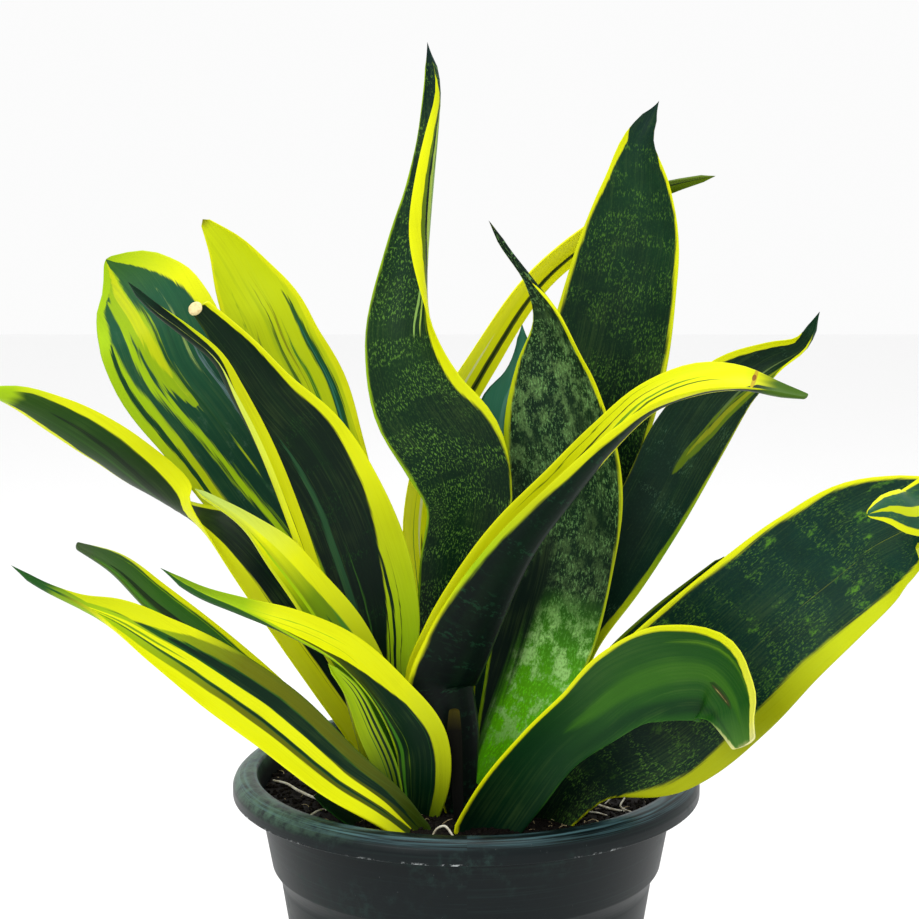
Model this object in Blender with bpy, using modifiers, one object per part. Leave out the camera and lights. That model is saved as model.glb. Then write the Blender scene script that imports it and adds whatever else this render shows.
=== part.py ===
"""Potted snake plant: a turned nursery pot, its soil, and each leaf and loose root as a solid of its own.

The origin is the centre of the pot's flat underside, +Z is up and the front is -Y.
"""
import math

import bmesh
import bpy
import numpy as np
from mathutils import Vector

MM = 0.001

# Pot (metres)
POT_HEIGHT = 0.175
RIM_RADIUS = 0.100          # outside of the down-turned band
MOUTH_RADIUS = 0.0893       # inner edge of the lip
BASE_RADIUS = 0.060         # outside of the wall at the floor
WALL = 0.0016
FLOOR = 0.0022
RIM_DROP = 0.0094           # lip top to the band's lower edge
BAND_WALL = 0.0014
STEP_TOP_DROP = 0.0405      # lip top to the upper end of the stepped shoulder
STEP_HEIGHT = 0.0090
STEP_DEPTH = 0.0040
COLLAR_TAPER = 0.18         # radius lost for each metre down, above the step
DRAIN_COUNT = 8
DRAIN_RADIUS = 0.0055
DRAIN_RING = 0.044
TURN_STEPS = 48

# Soil
SOIL_DROP = 0.0110          # lip top to the soil's edge
SOIL_CROWN = 0.0015         # how far the soil rises at the middle
CROWN_SHARES = (0.0, 0.35, 0.7, 1.0)  # shares of the radius at which the crown has a ring
CLEARANCE = 0.0003          # between solids that touch

# Plant
DRAWN_MOUTH_RADIUS = 0.0893  # the pot mouth that the leaf routes below were drawn for
BURIED = 0.012               # length of each leaf's foot below the soil
FOOT_WIDTH = 0.9             # the buried foot's share of the width at soil level
STATIONS = 14                # sections along a leaf above the soil
ACROSS = (-1.0, -0.78, -0.4, 0.0, 0.4, 0.78, 1.0)
KEEL_LIMIT = 0.7             # most of the keel's radius that half the blade may fill

# Each leaf is a route from the soil to its tip. A row is
#   x, y, z (above the soil), turn, width, depth
# in millimetres and degrees. The route runs midway between the two margins. turn swings the upper
# face about the route from facing the front, width is margin to margin, and depth is how far the
# keel lies behind the margins. The second value of each leaf is its thickness in millimetres at
# the soil, halfway and at the tip.
LEAVES = {
    "leaf_front_low": ([
        (-19, -59, 0, 38, 12, 4), (-30, -65, 13, 46, 19, 4), (-49, -70, 29, 45, 25, 5),
        (-73, -75, 52, 42, 29, 5), (-97, -82, 72, 45, 28, 4), (-115, -91, 87, 50, 22, 4),
        (-131, -99, 100, 62, 15, 4), (-143, -105, 107, 84, 8, 3), (-155, -108, 113, 92, 5, 2),
        (-167, -112, 121, 90, 2, 1)], (3.6, 2.2, 1.2)),
    "leaf_low_left": ([
        (-42, -24, 0, 50, 14, 5), (-57, -25, 22, 60, 22, 6), (-78, -28, 46, 66, 26, 5),
        (-102, -33, 71, 72, 26, 4), (-125, -40, 93, 72, 22, 4), (-140, -48, 109, 72, 14, 3),
        (-154, -56, 118, 72, 4, 1)], (3.4, 2.0, 1.2)),
    "leaf_front_spiked": ([
        (-18, -42, 0, 16, 13, 5), (-17, -45, 14, 12, 20, 5), (-18, -46, 33, 14, 22, 5),
        (-30, -48, 55, 42, 19, 5), (-47, -52, 74, 56, 18, 4), (-67, -60, 87, 62, 15, 4),
        (-87, -68, 97, 78, 10, 4), (-103, -73, 104, 86, 7, 3), (-118, -77, 113, 85, 2, 1)],
        (3.2, 2.0, 1.2)),
    "leaf_young_striped": ([
        (-28, -52, 0, 20, 8, 2), (-32, -54, 24, 22, 10, 2), (-39, -57, 43, 30, 10, 2),
        (-46, -59, 60, 40, 7, 2), (-55, -60, 71, 50, 2, 1)], (2.2, 1.4, 0.9)),
    "leaf_far_left": ([
        (-31, 4, 4, 30, 17, 6), (-43, 2, 30, 32, 24, 6), (-58, 0, 54, 38, 27, 5),
        (-77, -1, 82, 46, 28, 4), (-93, -1, 104, 56, 28, 4), (-106, 2, 119, 75, 28, 6),
        (-119, 5, 128, 112, 30, 7), (-132, -2, 138, 140, 28, 5), (-148, -16, 153, 152, 25, 3),
        (-167, -28, 167, 155, 19, 2), (-180, -38, 175, 156, 11, 2), (-189, -44, 178, 156, 4, 1)],
        (4.0, 2.2, 1.2)),
    "leaf_broad_striped": ([
        (-37, 22, 0, 19, 20, 6), (-48, 22, 48, 16, 29, 6), (-60, 21, 80, 15, 36, 5),
        (-75, 21, 108, 14, 42, 5), (-90, 23, 129, 12, 47, 5), (-110, 22, 159, 9, 52, 5),
        (-126, 23, 181, 6, 54, 5), (-134, 26, 200, 4, 53, 5), (-142, 34, 212, 5, 45, 4),
        (-148, 38, 219, 8, 31, 3), (-153, 40, 223, 8, 16, 2), (-157, 41, 226, 8, 3, 1)],
        (4.2, 2.4, 1.4)),
    "leaf_yellow": ([
        (-20, 30, 0, 10, 13, 4), (-25, 31, 23, 9, 14, 4), (-32, 34, 53, 2, 19, 5),
        (-42, 38, 81, 1, 27, 5), (-54, 42, 111, 1, 34, 5), (-65, 46, 142, 1, 40, 5),
        (-74, 50, 167, 3, 43, 5), (-84, 52, 186, 3, 41, 5), (-90, 54, 201, 4, 37, 4),
        (-98, 57, 215, 6, 29, 4), (-106, 59, 229, 8, 18, 3), (-117, 60, 243, 10, 3, 1)],
        (3.8, 2.2, 1.2)),
    "leaf_cut_tip": ([
        (-24, -9, 0, 0, 14, 4), (-28, -9, 25, 0, 17, 5), (-34, -9, 52, 0, 25, 5),
        (-36, -10, 77, 1, 33, 5), (-43, -12, 104, 2, 38, 5), (-52, -14, 129, 4, 36, 5),
        (-65, -17, 153, 8, 33, 5), (-80, -21, 172, 10, 25, 5), (-93, -25, 192, 12, 16, 4),
        (-102, -28, 204, 12, 10, 3), (-107, -30, 210, 12, 7, 3)], (4.0, 2.4, 3.2)),
    "leaf_hooked": ([
        (-36, -11, 0, 60, 9, 3), (-45, -15, 42, 75, 11, 4), (-53, -18, 70, 80, 12, 4),
        (-61, -21, 97, 80, 13, 4), (-69, -23, 122, 78, 13, 4), (-82, -27, 157, 78, 12, 4),
        (-91, -31, 176, 78, 11, 4), (-99, -36, 191, 76, 9, 3), (-111, -40, 202, 70, 7, 3),
        (-124, -43, 212, 66, 5, 2), (-133, -46, 221, 66, 2, 1)], (2.6, 1.6, 1.0)),
    "leaf_left_curling": ([
        (-26, -23, 0, 25, 12, 4), (-31, -25, 29, 30, 16, 5), (-39, -29, 53, 40, 22, 5),
        (-51, -35, 77, 43, 25, 5), (-64, -39, 97, 50, 22, 4), (-76, -41, 113, 46, 17, 4),
        (-88, -41, 125, 51, 8, 3), (-109, -41, 138, 51, 2, 1)], (3.0, 1.8, 1.0)),
    "leaf_tall_rolled": ([
        (-9, 8, 0, 14, 18, 5), (-7, 7, 40, 12, 22, 5), (-8, 4, 68, 11, 26, 5),
        (-5, 0, 96, 9, 30, 6), (1, -3, 127, 6, 37, 6), (-6, -5, 149, 2, 44, 6),
        (-19, -5, 168, -3, 41, 6), (-27, -5, 192, -18, 33, 7), (-29, -5, 213, -43, 29, 11),
        (-28, -3, 237, -67, 23, 12), (-23, -2, 260, -79, 18, 9), (-18, -1, 282, -72, 11, 6),
        (-15, -2, 299, -45, 7, 4), (-16, -2, 316, -45, 2, 1)], (4.2, 2.4, 1.2)),
    "leaf_centre_broad": ([
        (9, 1, 0, 5, 13, 5), (18, 2, 21, 3, 29, 6), (26, 3, 43, 1, 38, 6), (33, 4, 67, 0, 45, 6),
        (40, 4, 97, -5, 45, 6), (42, 4, 128, -12, 49, 6), (38, 3, 158, -20, 47, 6),
        (36, 0, 181, -28, 35, 6), (33, -5, 204, -42, 14, 4), (25, -8, 219, -52, 4, 2),
        (14, -9, 235, -50, 3, 1), (9, -12, 244, -50, 2, 1)], (4.4, 2.6, 1.2)),
    "leaf_tall_right": ([
        (20, 24, 0, 0, 16, 6), (26, 26, 35, 0, 23, 6), (35, 28, 71, -2, 31, 6),
        (45, 31, 110, -4, 42, 6), (54, 33, 153, -8, 52, 6), (62, 35, 187, -12, 53, 6),
        (67, 36, 213, -15, 49, 6), (71, 36, 236, -17, 43, 6), (73, 37, 257, -19, 31, 5),
        (74, 38, 277, -28, 15, 4), (83, 40, 294, -30, 2, 1)], (4.4, 2.6, 1.2)),
    "leaf_back_slender": ([
        (-10, 43, 0, 25, 14, 5), (-13, 45, 33, 26, 16, 4), (-17, 48, 73, 28, 18, 4),
        (-19, 52, 109, 26, 20, 4), (-11, 55, 146, 30, 19, 4), (8, 58, 180, 35, 17, 4),
        (34, 60, 217, 40, 15, 4), (60, 62, 238, 40, 14, 4), (83, 56, 254, 43, 9, 3),
        (109, 48, 262, 46, 2, 1)], (3.4, 2.0, 1.2)),
    "leaf_short_blue": ([
        (5, 17, 0, 8, 13, 4), (12, 20, 50, 6, 19, 4), (16, 21, 97, 5, 25, 4),
        (18, 22, 136, 2, 29, 4), (20, 22, 165, 0, 27, 4), (23, 22, 177, -4, 14, 4),
        (24, 24, 188, -7, 6, 3), (24, 25, 199, -7, 2, 1)], (3.4, 2.0, 1.2)),
    "leaf_front_arching": ([
        (-9, -31, 0, -85, 11, 12), (-18, -29, 30, -84, 13, 23), (-25, -27, 54, -84, 13, 28),
        (-17, -30, 77, -84, 13, 28), (-6, -34, 97, -82, 13, 25), (12, -40, 122, -77, 13, 19),
        (32, -45, 143, -75, 13, 14), (51, -49, 162, -73, 15, 10), (71, -53, 178, -69, 18, 7),
        (91, -56, 185, -65, 20, 6), (107, -61, 185, -66, 17, 4), (122, -66, 181, -68, 8, 3),
        (130, -72, 179, -68, 3, 1)], (2.6, 2.0, 1.2)),
    "leaf_right_dark": ([
        (28, 13, 0, 0, 13, 5), (36, 14, 28, -6, 18, 5), (48, 14, 63, -12, 20, 5),
        (64, 14, 92, -14, 27, 5), (81, 12, 124, -18, 31, 5), (96, 9, 154, -20, 32, 5),
        (112, 5, 176, -23, 25, 5), (128, 0, 187, -26, 14, 4), (138, -6, 193, -40, 7, 3),
        (145, -12, 207, -50, 2, 1)], (3.8, 2.2, 1.2)),
    "leaf_folded_tip": ([
        (31, -46, 0, -10, 18, 6), (45, -51, 24, -8, 34, 6), (73, -65, 48, -16, 60, 6),
        (96, -71, 71, -22, 63, 6), (116, -75, 92, -23, 59, 6), (136, -79, 111, -25, 55, 6),
        (155, -84, 127, -28, 47, 5), (167, -89, 134, -40, 36, 3), (171, -99, 139, -100, 26, 2),
        (162, -109, 140, -137, 20, 2), (151, -116, 142, -146, 11, 2), (144, -120, 141, -146, 2, 1)],
        (4.4, 2.6, 1.2)),
    "leaf_front_hooked": ([
        (7, -58, 0, 2, 24, 6), (18, -63, 18, 8, 27, 6), (33, -70, 39, 18, 28, 6),
        (48, -77, 54, 15, 31, 6), (62, -83, 67, 14, 38, 6), (79, -88, 74, 19, 45, 6),
        (91, -94, 74, 27, 43, 6), (98, -100, 67, 42, 31, 5), (101, -105, 58, 46, 18, 4),
        (103, -109, 52, 40, 11, 3)], (3.8, 2.2, 1.4)),
    "leaf_right_behind": ([
        (37, -14, 0, -15, 10, 4), (45, -18, 31, -22, 12, 4), (59, -24, 57, -29, 15, 4),
        (80, -31, 80, -32, 16, 3), (94, -36, 96, -35, 11, 3), (104, -39, 110, -40, 2, 1)],
        (2.8, 1.8, 1.0)),
    "leaf_stub": ([
        (-38, -42, 0, 40, 12, 3), (-44, -45, 7, 45, 19, 4), (-53, -49, 12, 45, 16, 3),
        (-62, -53, 14, 45, 4, 1)], (2.8, 1.8, 1.2)),
    "dry_sheath": ([
        (-3, -43, 0, 0, 4, 1), (-4, -41, 20, 0, 5, 1), (-5, -40, 38, 0, 6, 1),
        (-5, -40, 47, 0, 4, 1)], (0.9, 0.8, 0.7)),
}

# Loose roots that lie on the soil: x, y in millimetres and the radius
ROOTS = {
    "root_left": ([(-84, 8), (-78, 2), (-72, -7), (-66, -16), (-61, -25), (-58, -33)], 0.9),
    "root_front": ([(-14, -68), (-10, -66), (-6, -69), (-4, -74)], 1.0),
    "root_right": ([(47, -28), (50, -25), (54, -31), (60, -34), (66, -33)], 0.7),
}

# Base colour, roughness
COLOURS = {
    "pot": ((0.030, 0.038, 0.040), 0.45),
    "soil": ((0.018, 0.012, 0.008), 0.95),
    "root": ((0.55, 0.50, 0.38), 0.7),
    "sheath": ((0.20, 0.15, 0.06), 0.8),
    "leaf_green": ((0.020, 0.085, 0.035), 0.35),
    "leaf_lime": ((0.42, 0.62, 0.02), 0.35),
}
LIME_LEAVES = ("leaf_yellow", "leaf_left_curling", "leaf_front_spiked", "leaf_front_low")

PLANT_SCALE = MOUTH_RADIUS / DRAWN_MOUTH_RADIUS
SOIL_TOP = POT_HEIGHT - SOIL_DROP


def clear_scene():
    for thing in list(bpy.data.objects):
        bpy.data.objects.remove(thing, do_unlink=True)


def make_collection(name):
    group = bpy.data.collections.new(name)
    bpy.context.scene.collection.children.link(group)
    return group


def make_material(name):
    colour, roughness = COLOURS[name]
    material = bpy.data.materials.new(name)
    material.use_nodes = True
    shader = material.node_tree.nodes["Principled BSDF"]
    shader.inputs["Base Color"].default_value = (*colour, 1.0)
    shader.inputs["Roughness"].default_value = roughness
    shader.inputs["Metallic"].default_value = 0.0
    return material


def add_object(name, data, group, material=None):
    thing = bpy.data.objects.new(name, data)
    group.objects.link(thing)
    if material:
        data.materials.append(material)
    return thing


def hide_cutter(thing):
    thing.hide_render = True
    thing.display_type = "WIRE"


def add_cut(thing, cutter):
    cut = thing.modifiers.new("cut_" + cutter.name, "BOOLEAN")
    cut.operation = "DIFFERENCE"
    cut.solver = "EXACT"
    cut.object = cutter


def turned(name, profile, group, material):
    """A profile of (radius, z) that starts and ends on the axis, turned about Z."""
    mesh = bpy.data.meshes.new(name)
    points = [(radius, 0.0, z) for radius, z in profile]
    edges = [(i, i + 1) for i in range(len(points) - 1)]
    mesh.from_pydata(points, edges, [])
    thing = add_object(name, mesh, group, material)
    screw = thing.modifiers.new("turn", "SCREW")
    screw.axis = "Z"
    screw.angle = math.tau
    screw.steps = TURN_STEPS
    screw.render_steps = TURN_STEPS
    screw.use_merge_vertices = True
    screw.merge_threshold = 0.00005
    screw.use_smooth_shade = True
    return thing


# ---- Pot ----

def wall_radius(z):
    """Outside radius of the pot's wall at a height, with the stepped shoulder below the collar."""
    collar_top = MOUTH_RADIUS + WALL
    step_top = POT_HEIGHT - STEP_TOP_DROP
    step_foot = step_top - STEP_HEIGHT
    shoulder = collar_top - COLLAR_TAPER * STEP_TOP_DROP
    if z >= step_top:
        return collar_top - COLLAR_TAPER * (POT_HEIGHT - z)
    if z >= step_foot:
        drop = (step_top - z) / STEP_HEIGHT
        return shoulder - STEP_DEPTH * math.sin(drop * math.pi / 2)
    return BASE_RADIUS + (shoulder - STEP_DEPTH - BASE_RADIUS) * z / step_foot


def wall_heights():
    """Heights, from the top down, at which the wall's profile has a point."""
    step_top = POT_HEIGHT - STEP_TOP_DROP
    step = [step_top - STEP_HEIGHT * share for share in (0.0, 0.3, 0.65, 1.0)]
    return [POT_HEIGHT - RIM_DROP] + step


def pot_profile():
    inner = [(0.0, FLOOR), (wall_radius(FLOOR) - WALL, FLOOR)]
    inner += [(wall_radius(z) - WALL, z) for z in reversed(wall_heights())]
    top = POT_HEIGHT
    crest = MOUTH_RADIUS + 0.25 * (RIM_RADIUS - MOUTH_RADIUS)
    rim = [
        (MOUTH_RADIUS, top - 0.0016),
        (MOUTH_RADIUS + 0.0008, top - 0.0004),
        (crest, top),
        (RIM_RADIUS - 0.0030, top - 0.0014),
        (RIM_RADIUS - 0.0007, top - 0.0036),
        (RIM_RADIUS, top - 0.0052),
        (RIM_RADIUS, top - RIM_DROP),
        (RIM_RADIUS - BAND_WALL, top - RIM_DROP),
        (RIM_RADIUS - BAND_WALL, top - 0.0050),
        (wall_radius(top - 0.0036) + 0.0006, top - 0.0036),
    ]
    outer = [(wall_radius(z), z) for z in wall_heights()]
    foot = [
        (wall_radius(0.0015), 0.0015),
        (BASE_RADIUS - 0.0012, 0.0),
        (0.0, 0.0),
    ]
    return inner + rim + outer + foot


def build_pot(parts, cutters, material):
    pot = turned("pot", pot_profile(), parts, material)
    for index in range(DRAIN_COUNT):
        angle = math.tau * (index + 0.5) / DRAIN_COUNT
        mesh = bpy.data.meshes.new("drain")
        hole = bmesh.new()
        bmesh.ops.create_cone(hole, cap_ends=True, segments=16, radius1=DRAIN_RADIUS,
                              radius2=DRAIN_RADIUS, depth=4 * FLOOR)
        hole.to_mesh(mesh)
        hole.free()
        cutter = add_object("drain_%d" % index, mesh, cutters)
        cutter.location = (DRAIN_RING * math.cos(angle), DRAIN_RING * math.sin(angle), 0.0)
        hide_cutter(cutter)
        add_cut(pot, cutter)
    return pot


# ---- Leaves ----

def route_values(rows, count):
    """Rows read at evenly spaced places along a smooth curve through them."""
    rows = np.array(rows, dtype=float)
    steps = np.linalg.norm(np.diff(rows[:, :3], axis=0), axis=1)
    knots = np.concatenate(([0.0], np.cumsum(steps)))
    slopes = np.gradient(rows, knots, axis=0)
    values = []
    for place in np.linspace(0.0, knots[-1], count):
        i = min(int(np.searchsorted(knots, place, side="right")) - 1, len(rows) - 2)
        span = knots[i + 1] - knots[i]
        t = (place - knots[i]) / span
        start = (2 * t ** 3 - 3 * t ** 2 + 1) * rows[i] + (t ** 3 - 2 * t ** 2 + t) * span * slopes[i]
        end = (3 * t ** 2 - 2 * t ** 3) * rows[i + 1] + (t ** 3 - t ** 2) * span * slopes[i + 1]
        values.append(start + end)
    return np.array(values)


def thickness_at(thickness, share):
    """Blade thickness in millimetres, from the soil over halfway to the tip."""
    return float(np.interp(share, (0.0, 0.5, 1.0), thickness))


def section(centre, along, turn, width, depth, thick, grow):
    """The closed ring of one blade section: its upper face from margin to margin, then its back."""
    front = Vector((0.0, -1.0, 0.0))
    face = (front - along * front.dot(along)).normalized()
    swing = along.cross(face)
    face = face * math.cos(turn) + swing * math.sin(turn)
    side = along.cross(face)
    half_angle = min(math.pi / 2, 2 * math.atan2(2 * depth, width))
    if half_angle < 0.02:
        half_angle = 0.02
    keel_radius = (width / 2) ** 2 / max(depth, 1e-6)
    half_thick = min(thick / 2, KEEL_LIMIT * keel_radius)
    stretch = 1 + grow / math.hypot(width / 2, depth)
    upper = []
    under = []
    for u in ACROSS:
        angle = half_angle * u * stretch
        across = width / 2 * math.sin(angle) / math.sin(half_angle)
        behind = depth * (math.cos(angle) - math.cos(half_angle)) / (1 - math.cos(half_angle))
        run = width / 2 * math.cos(angle) / math.sin(half_angle)
        rise = depth * math.sin(angle) / (1 - math.cos(half_angle))
        point = centre + side * across - face * behind
        normal = (face * run - side * rise).normalized()
        half = half_thick * math.sqrt(1 - 0.97 * u * u) + grow
        upper.append(point + normal * half)
        under.append(point - normal * half)
    return upper + under[::-1]


def leaf_mesh(name, rows, thickness, grow=0.0):
    """A blade lofted along its route, with a buried foot. grow makes it fatter all round."""
    values = route_values(rows, STATIONS)
    scale = MM * PLANT_SCALE
    points = [Vector(value[:3]) * scale + Vector((0.0, 0.0, SOIL_TOP)) for value in values]
    lean = (points[1] - points[0]).normalized() + Vector((0.0, 0.0, 1.0))
    foot = points[0] - lean.normalized() * (BURIED + grow)
    foot_value = values[0].copy()
    foot_value[4] *= FOOT_WIDTH
    values = np.vstack((foot_value, values))
    points = [foot] + points
    mesh_data = bmesh.new()
    rings = []
    for i, value in enumerate(values):
        along = (points[min(i + 1, len(points) - 1)] - points[max(i - 1, 0)]).normalized()
        thick = thickness_at(thickness, max(i - 1, 0) / (STATIONS - 1)) * scale
        width = value[4] * scale
        ring = section(points[i], along, math.radians(value[3]), width, value[5] * scale, thick, grow)
        rings.append([mesh_data.verts.new(point) for point in ring])
    count = len(rings[0])
    for low, high in zip(rings, rings[1:]):
        for j in range(count):
            k = (j + 1) % count
            mesh_data.faces.new((low[j], low[k], high[k], high[j]))
    mesh_data.faces.new(rings[0][::-1])
    mesh_data.faces.new(rings[-1])
    bmesh.ops.recalc_face_normals(mesh_data, faces=mesh_data.faces)
    for face in mesh_data.faces:
        face.smooth = True
    mesh = bpy.data.meshes.new(name)
    mesh_data.to_mesh(mesh)
    mesh_data.free()
    return mesh


def build_leaves(parts, materials):
    for name, (rows, thickness) in LEAVES.items():
        if name == "dry_sheath":
            material = materials["sheath"]
        elif name in LIME_LEAVES:
            material = materials["leaf_lime"]
        else:
            material = materials["leaf_green"]
        add_object(name, leaf_mesh(name, rows, thickness), parts, material)


# ---- Soil ----

def soil_radius(z):
    return wall_radius(z) - WALL - CLEARANCE


def soil_height(share):
    """Height of the soil's top at a share of its radius."""
    return SOIL_TOP + SOIL_CROWN * math.cos(min(share, 1.0) * math.pi / 2)


def soil_profile():
    floor = FLOOR + CLEARANCE
    profile = [(share * soil_radius(SOIL_TOP), soil_height(share)) for share in CROWN_SHARES]
    profile += [(soil_radius(z), z) for z in wall_heights() if z < SOIL_TOP]
    profile += [(soil_radius(floor), floor), (0.0, floor)]
    return profile


def build_soil(parts, cutters, material):
    """Turned soil with a socket for each leaf's foot, cut by a slightly fatter copy of the leaf."""
    soil = turned("soil", soil_profile(), parts, material)
    for name, (rows, thickness) in LEAVES.items():
        mesh = leaf_mesh("socket_" + name, rows, thickness, CLEARANCE)
        cutter = add_object("socket_" + name, mesh, cutters)
        hide_cutter(cutter)
        add_cut(soil, cutter)
    return soil


def build_roots(parts, material):
    """Loose roots: thin round curves that lie on the soil."""
    for name, (places, radius) in ROOTS.items():
        curve = bpy.data.curves.new(name, "CURVE")
        curve.dimensions = "3D"
        curve.bevel_depth = radius * MM
        curve.bevel_resolution = 2
        curve.use_fill_caps = True
        rows = [(x, y, 0.0) for x, y in places]
        line = route_values(rows, 2 * len(places) + 1)
        spline = curve.splines.new("POLY")
        spline.points.add(len(line) - 1)
        for point, (x, y, _) in zip(spline.points, line):
            x *= MM * PLANT_SCALE
            y *= MM * PLANT_SCALE
            share = math.hypot(x, y) / soil_radius(SOIL_TOP)
            z = soil_height(share) + radius * MM + 2 * CLEARANCE
            point.co = (x, y, z, 1.0)
        add_object(name, curve, parts, material)


def main():
    clear_scene()
    parts = make_collection("potted_snake_plant")
    cutters = make_collection("cutters")
    materials = {name: make_material(name) for name in COLOURS}
    build_pot(parts, cutters, materials["pot"])
    build_leaves(parts, materials)
    build_soil(parts, cutters, materials["soil"])
    build_roots(parts, materials["root"])


main()
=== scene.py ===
import math

import bmesh
import bpy
import numpy as np
from mathutils import Matrix, Vector, noise


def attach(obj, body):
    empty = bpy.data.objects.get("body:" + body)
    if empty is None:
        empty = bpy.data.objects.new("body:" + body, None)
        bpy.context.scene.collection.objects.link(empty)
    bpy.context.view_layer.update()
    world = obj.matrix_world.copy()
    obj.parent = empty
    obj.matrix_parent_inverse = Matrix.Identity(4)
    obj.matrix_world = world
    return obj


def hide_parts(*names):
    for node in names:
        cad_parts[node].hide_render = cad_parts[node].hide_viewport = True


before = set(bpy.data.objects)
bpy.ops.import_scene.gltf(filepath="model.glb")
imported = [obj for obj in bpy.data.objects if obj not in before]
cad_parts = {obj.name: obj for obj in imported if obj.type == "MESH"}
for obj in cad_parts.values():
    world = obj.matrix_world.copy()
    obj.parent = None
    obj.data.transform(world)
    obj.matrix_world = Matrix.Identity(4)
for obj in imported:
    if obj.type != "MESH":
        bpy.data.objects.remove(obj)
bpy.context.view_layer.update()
mm = 0.001

# ---- nodes: one wrapped socket for shader and geometry trees


class Wire:
    def __init__(self, tree, socket=None):
        self.tree = tree
        self.socket = socket

    def node(self, kind, values=None, out=0, stops=None, **settings):
        # settings first, then ramp stops, then the values or links of the sockets
        made = self.tree.nodes.new(kind)
        for key, value in settings.items():
            setattr(made, key, value)
        if stops:
            ramp = made.color_ramp
            while len(ramp.elements) < len(stops):
                ramp.elements.new(0.5)
            for element, (spot, colour) in zip(ramp.elements, stops):
                element.position = spot
                element.color = colour
        for key, value in (values or {}).items():
            if isinstance(value, Wire):
                self.tree.links.new(value.socket, made.inputs[key])
            else:
                made.inputs[key].default_value = value
        return Wire(self.tree, made.outputs[out])

    def maths(self, operation, first, second=None):
        values = {0: first} if second is None else {0: first, 1: second}
        return self.node("ShaderNodeMath", values, operation=operation)

    def __add__(self, other):
        return self.maths("ADD", self, other)

    __radd__ = __add__

    def __sub__(self, other):
        return self.maths("SUBTRACT", self, other)

    def __rsub__(self, other):
        return self.maths("SUBTRACT", other, self)

    def __mul__(self, other):
        return self.maths("MULTIPLY", self, other)

    __rmul__ = __mul__

    def __truediv__(self, other):
        return self.maths("DIVIDE", self, other)

    def __rtruediv__(self, other):
        return self.maths("DIVIDE", other, self)

    def ease(self, low, high):
        # 0 below low, 1 above high, smooth between
        values = {0: self, 1: low, 2: high}
        return self.node("ShaderNodeMapRange", values, interpolation_type="SMOOTHSTEP")

    def blend(self, under, over):
        # self is the factor between two colours
        return self.node("ShaderNodeMix", {0: self, 6: under, 7: over}, out=2, data_type="RGBA")

    def parts(self):
        split = self.node("ShaderNodeSeparateXYZ", {0: self})
        return [Wire(self.tree, socket) for socket in split.socket.node.outputs]

    def point(self, x, y, z):
        return self.node("ShaderNodeCombineXYZ", {0: x, 1: y, 2: z})

    def cloud(self, x, y, z, detail=2.0, roughness=0.5):
        # noise between 0 and 1 at a place given in noise cells
        values = {"Vector": self.point(x, y, z), "Scale": 1.0, "Detail": detail, "Roughness": roughness}
        return self.node("ShaderNodeTexNoise", values)

    def ownSpot(self):
        # the piece's own coordinates, in metres
        return self.node("ShaderNodeTexCoord", out=3)

    def grain(self, scale, detail, roughness=0.5):
        # noise between 0 and 1 that is even in all directions, in cells per metre
        values = {"Vector": self.ownSpot(), "Scale": scale, "Detail": detail, "Roughness": roughness}
        return self.node("ShaderNodeTexNoise", values)

    def bump(self, strength, distance, height):
        values = {"Strength": strength, "Distance": distance, "Height": height}
        return self.node("ShaderNodeBump", values)


def tone(red, green, blue):
    # a screen colour (0 to 255) as linear RGBA
    shares = [value / 255 for value in (red, green, blue)]
    return tuple(s / 12.92 if s <= 0.04045 else ((s + 0.055) / 1.055) ** 2.4 for s in shares) + (1.0,)


def grey(value):
    return (value, value, value, 1.0)


def newMaterial(name):
    material = bpy.data.materials.new(name)
    material.use_nodes = True
    tree = material.node_tree
    shader = tree.nodes["Principled BSDF"]
    return material, Wire(tree), shader


def feed(net, shader, name, value):
    if isinstance(value, Wire):
        net.tree.links.new(value.socket, shader.inputs[name])
    else:
        shader.inputs[name].default_value = value


# ---- camera, light and floor

stageLook = {
    "cameraPlace": (-0.0029, -0.8122, 0.4256),
    "cameraPitch": 8.25,
    "lens": 76.35,
    "sky": (1.0, 1.0, 1.0, 1.0),
    "skyStrength": 0.97,
    "sensor": 36.0,
    "floorSize": 9.0,
    "floorTone": 0.95,
    "floorRoughness": 0.9,
    "lights": [
        # name, place, size, power
        ("key", (-0.75, -1.15, 1.35), 0.7, 8.0),
        ("top", (0.1, 0.15, 1.7), 0.8, 8.0),
    ],
    "aim": (0.0, 0.0, 0.26),
}


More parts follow.
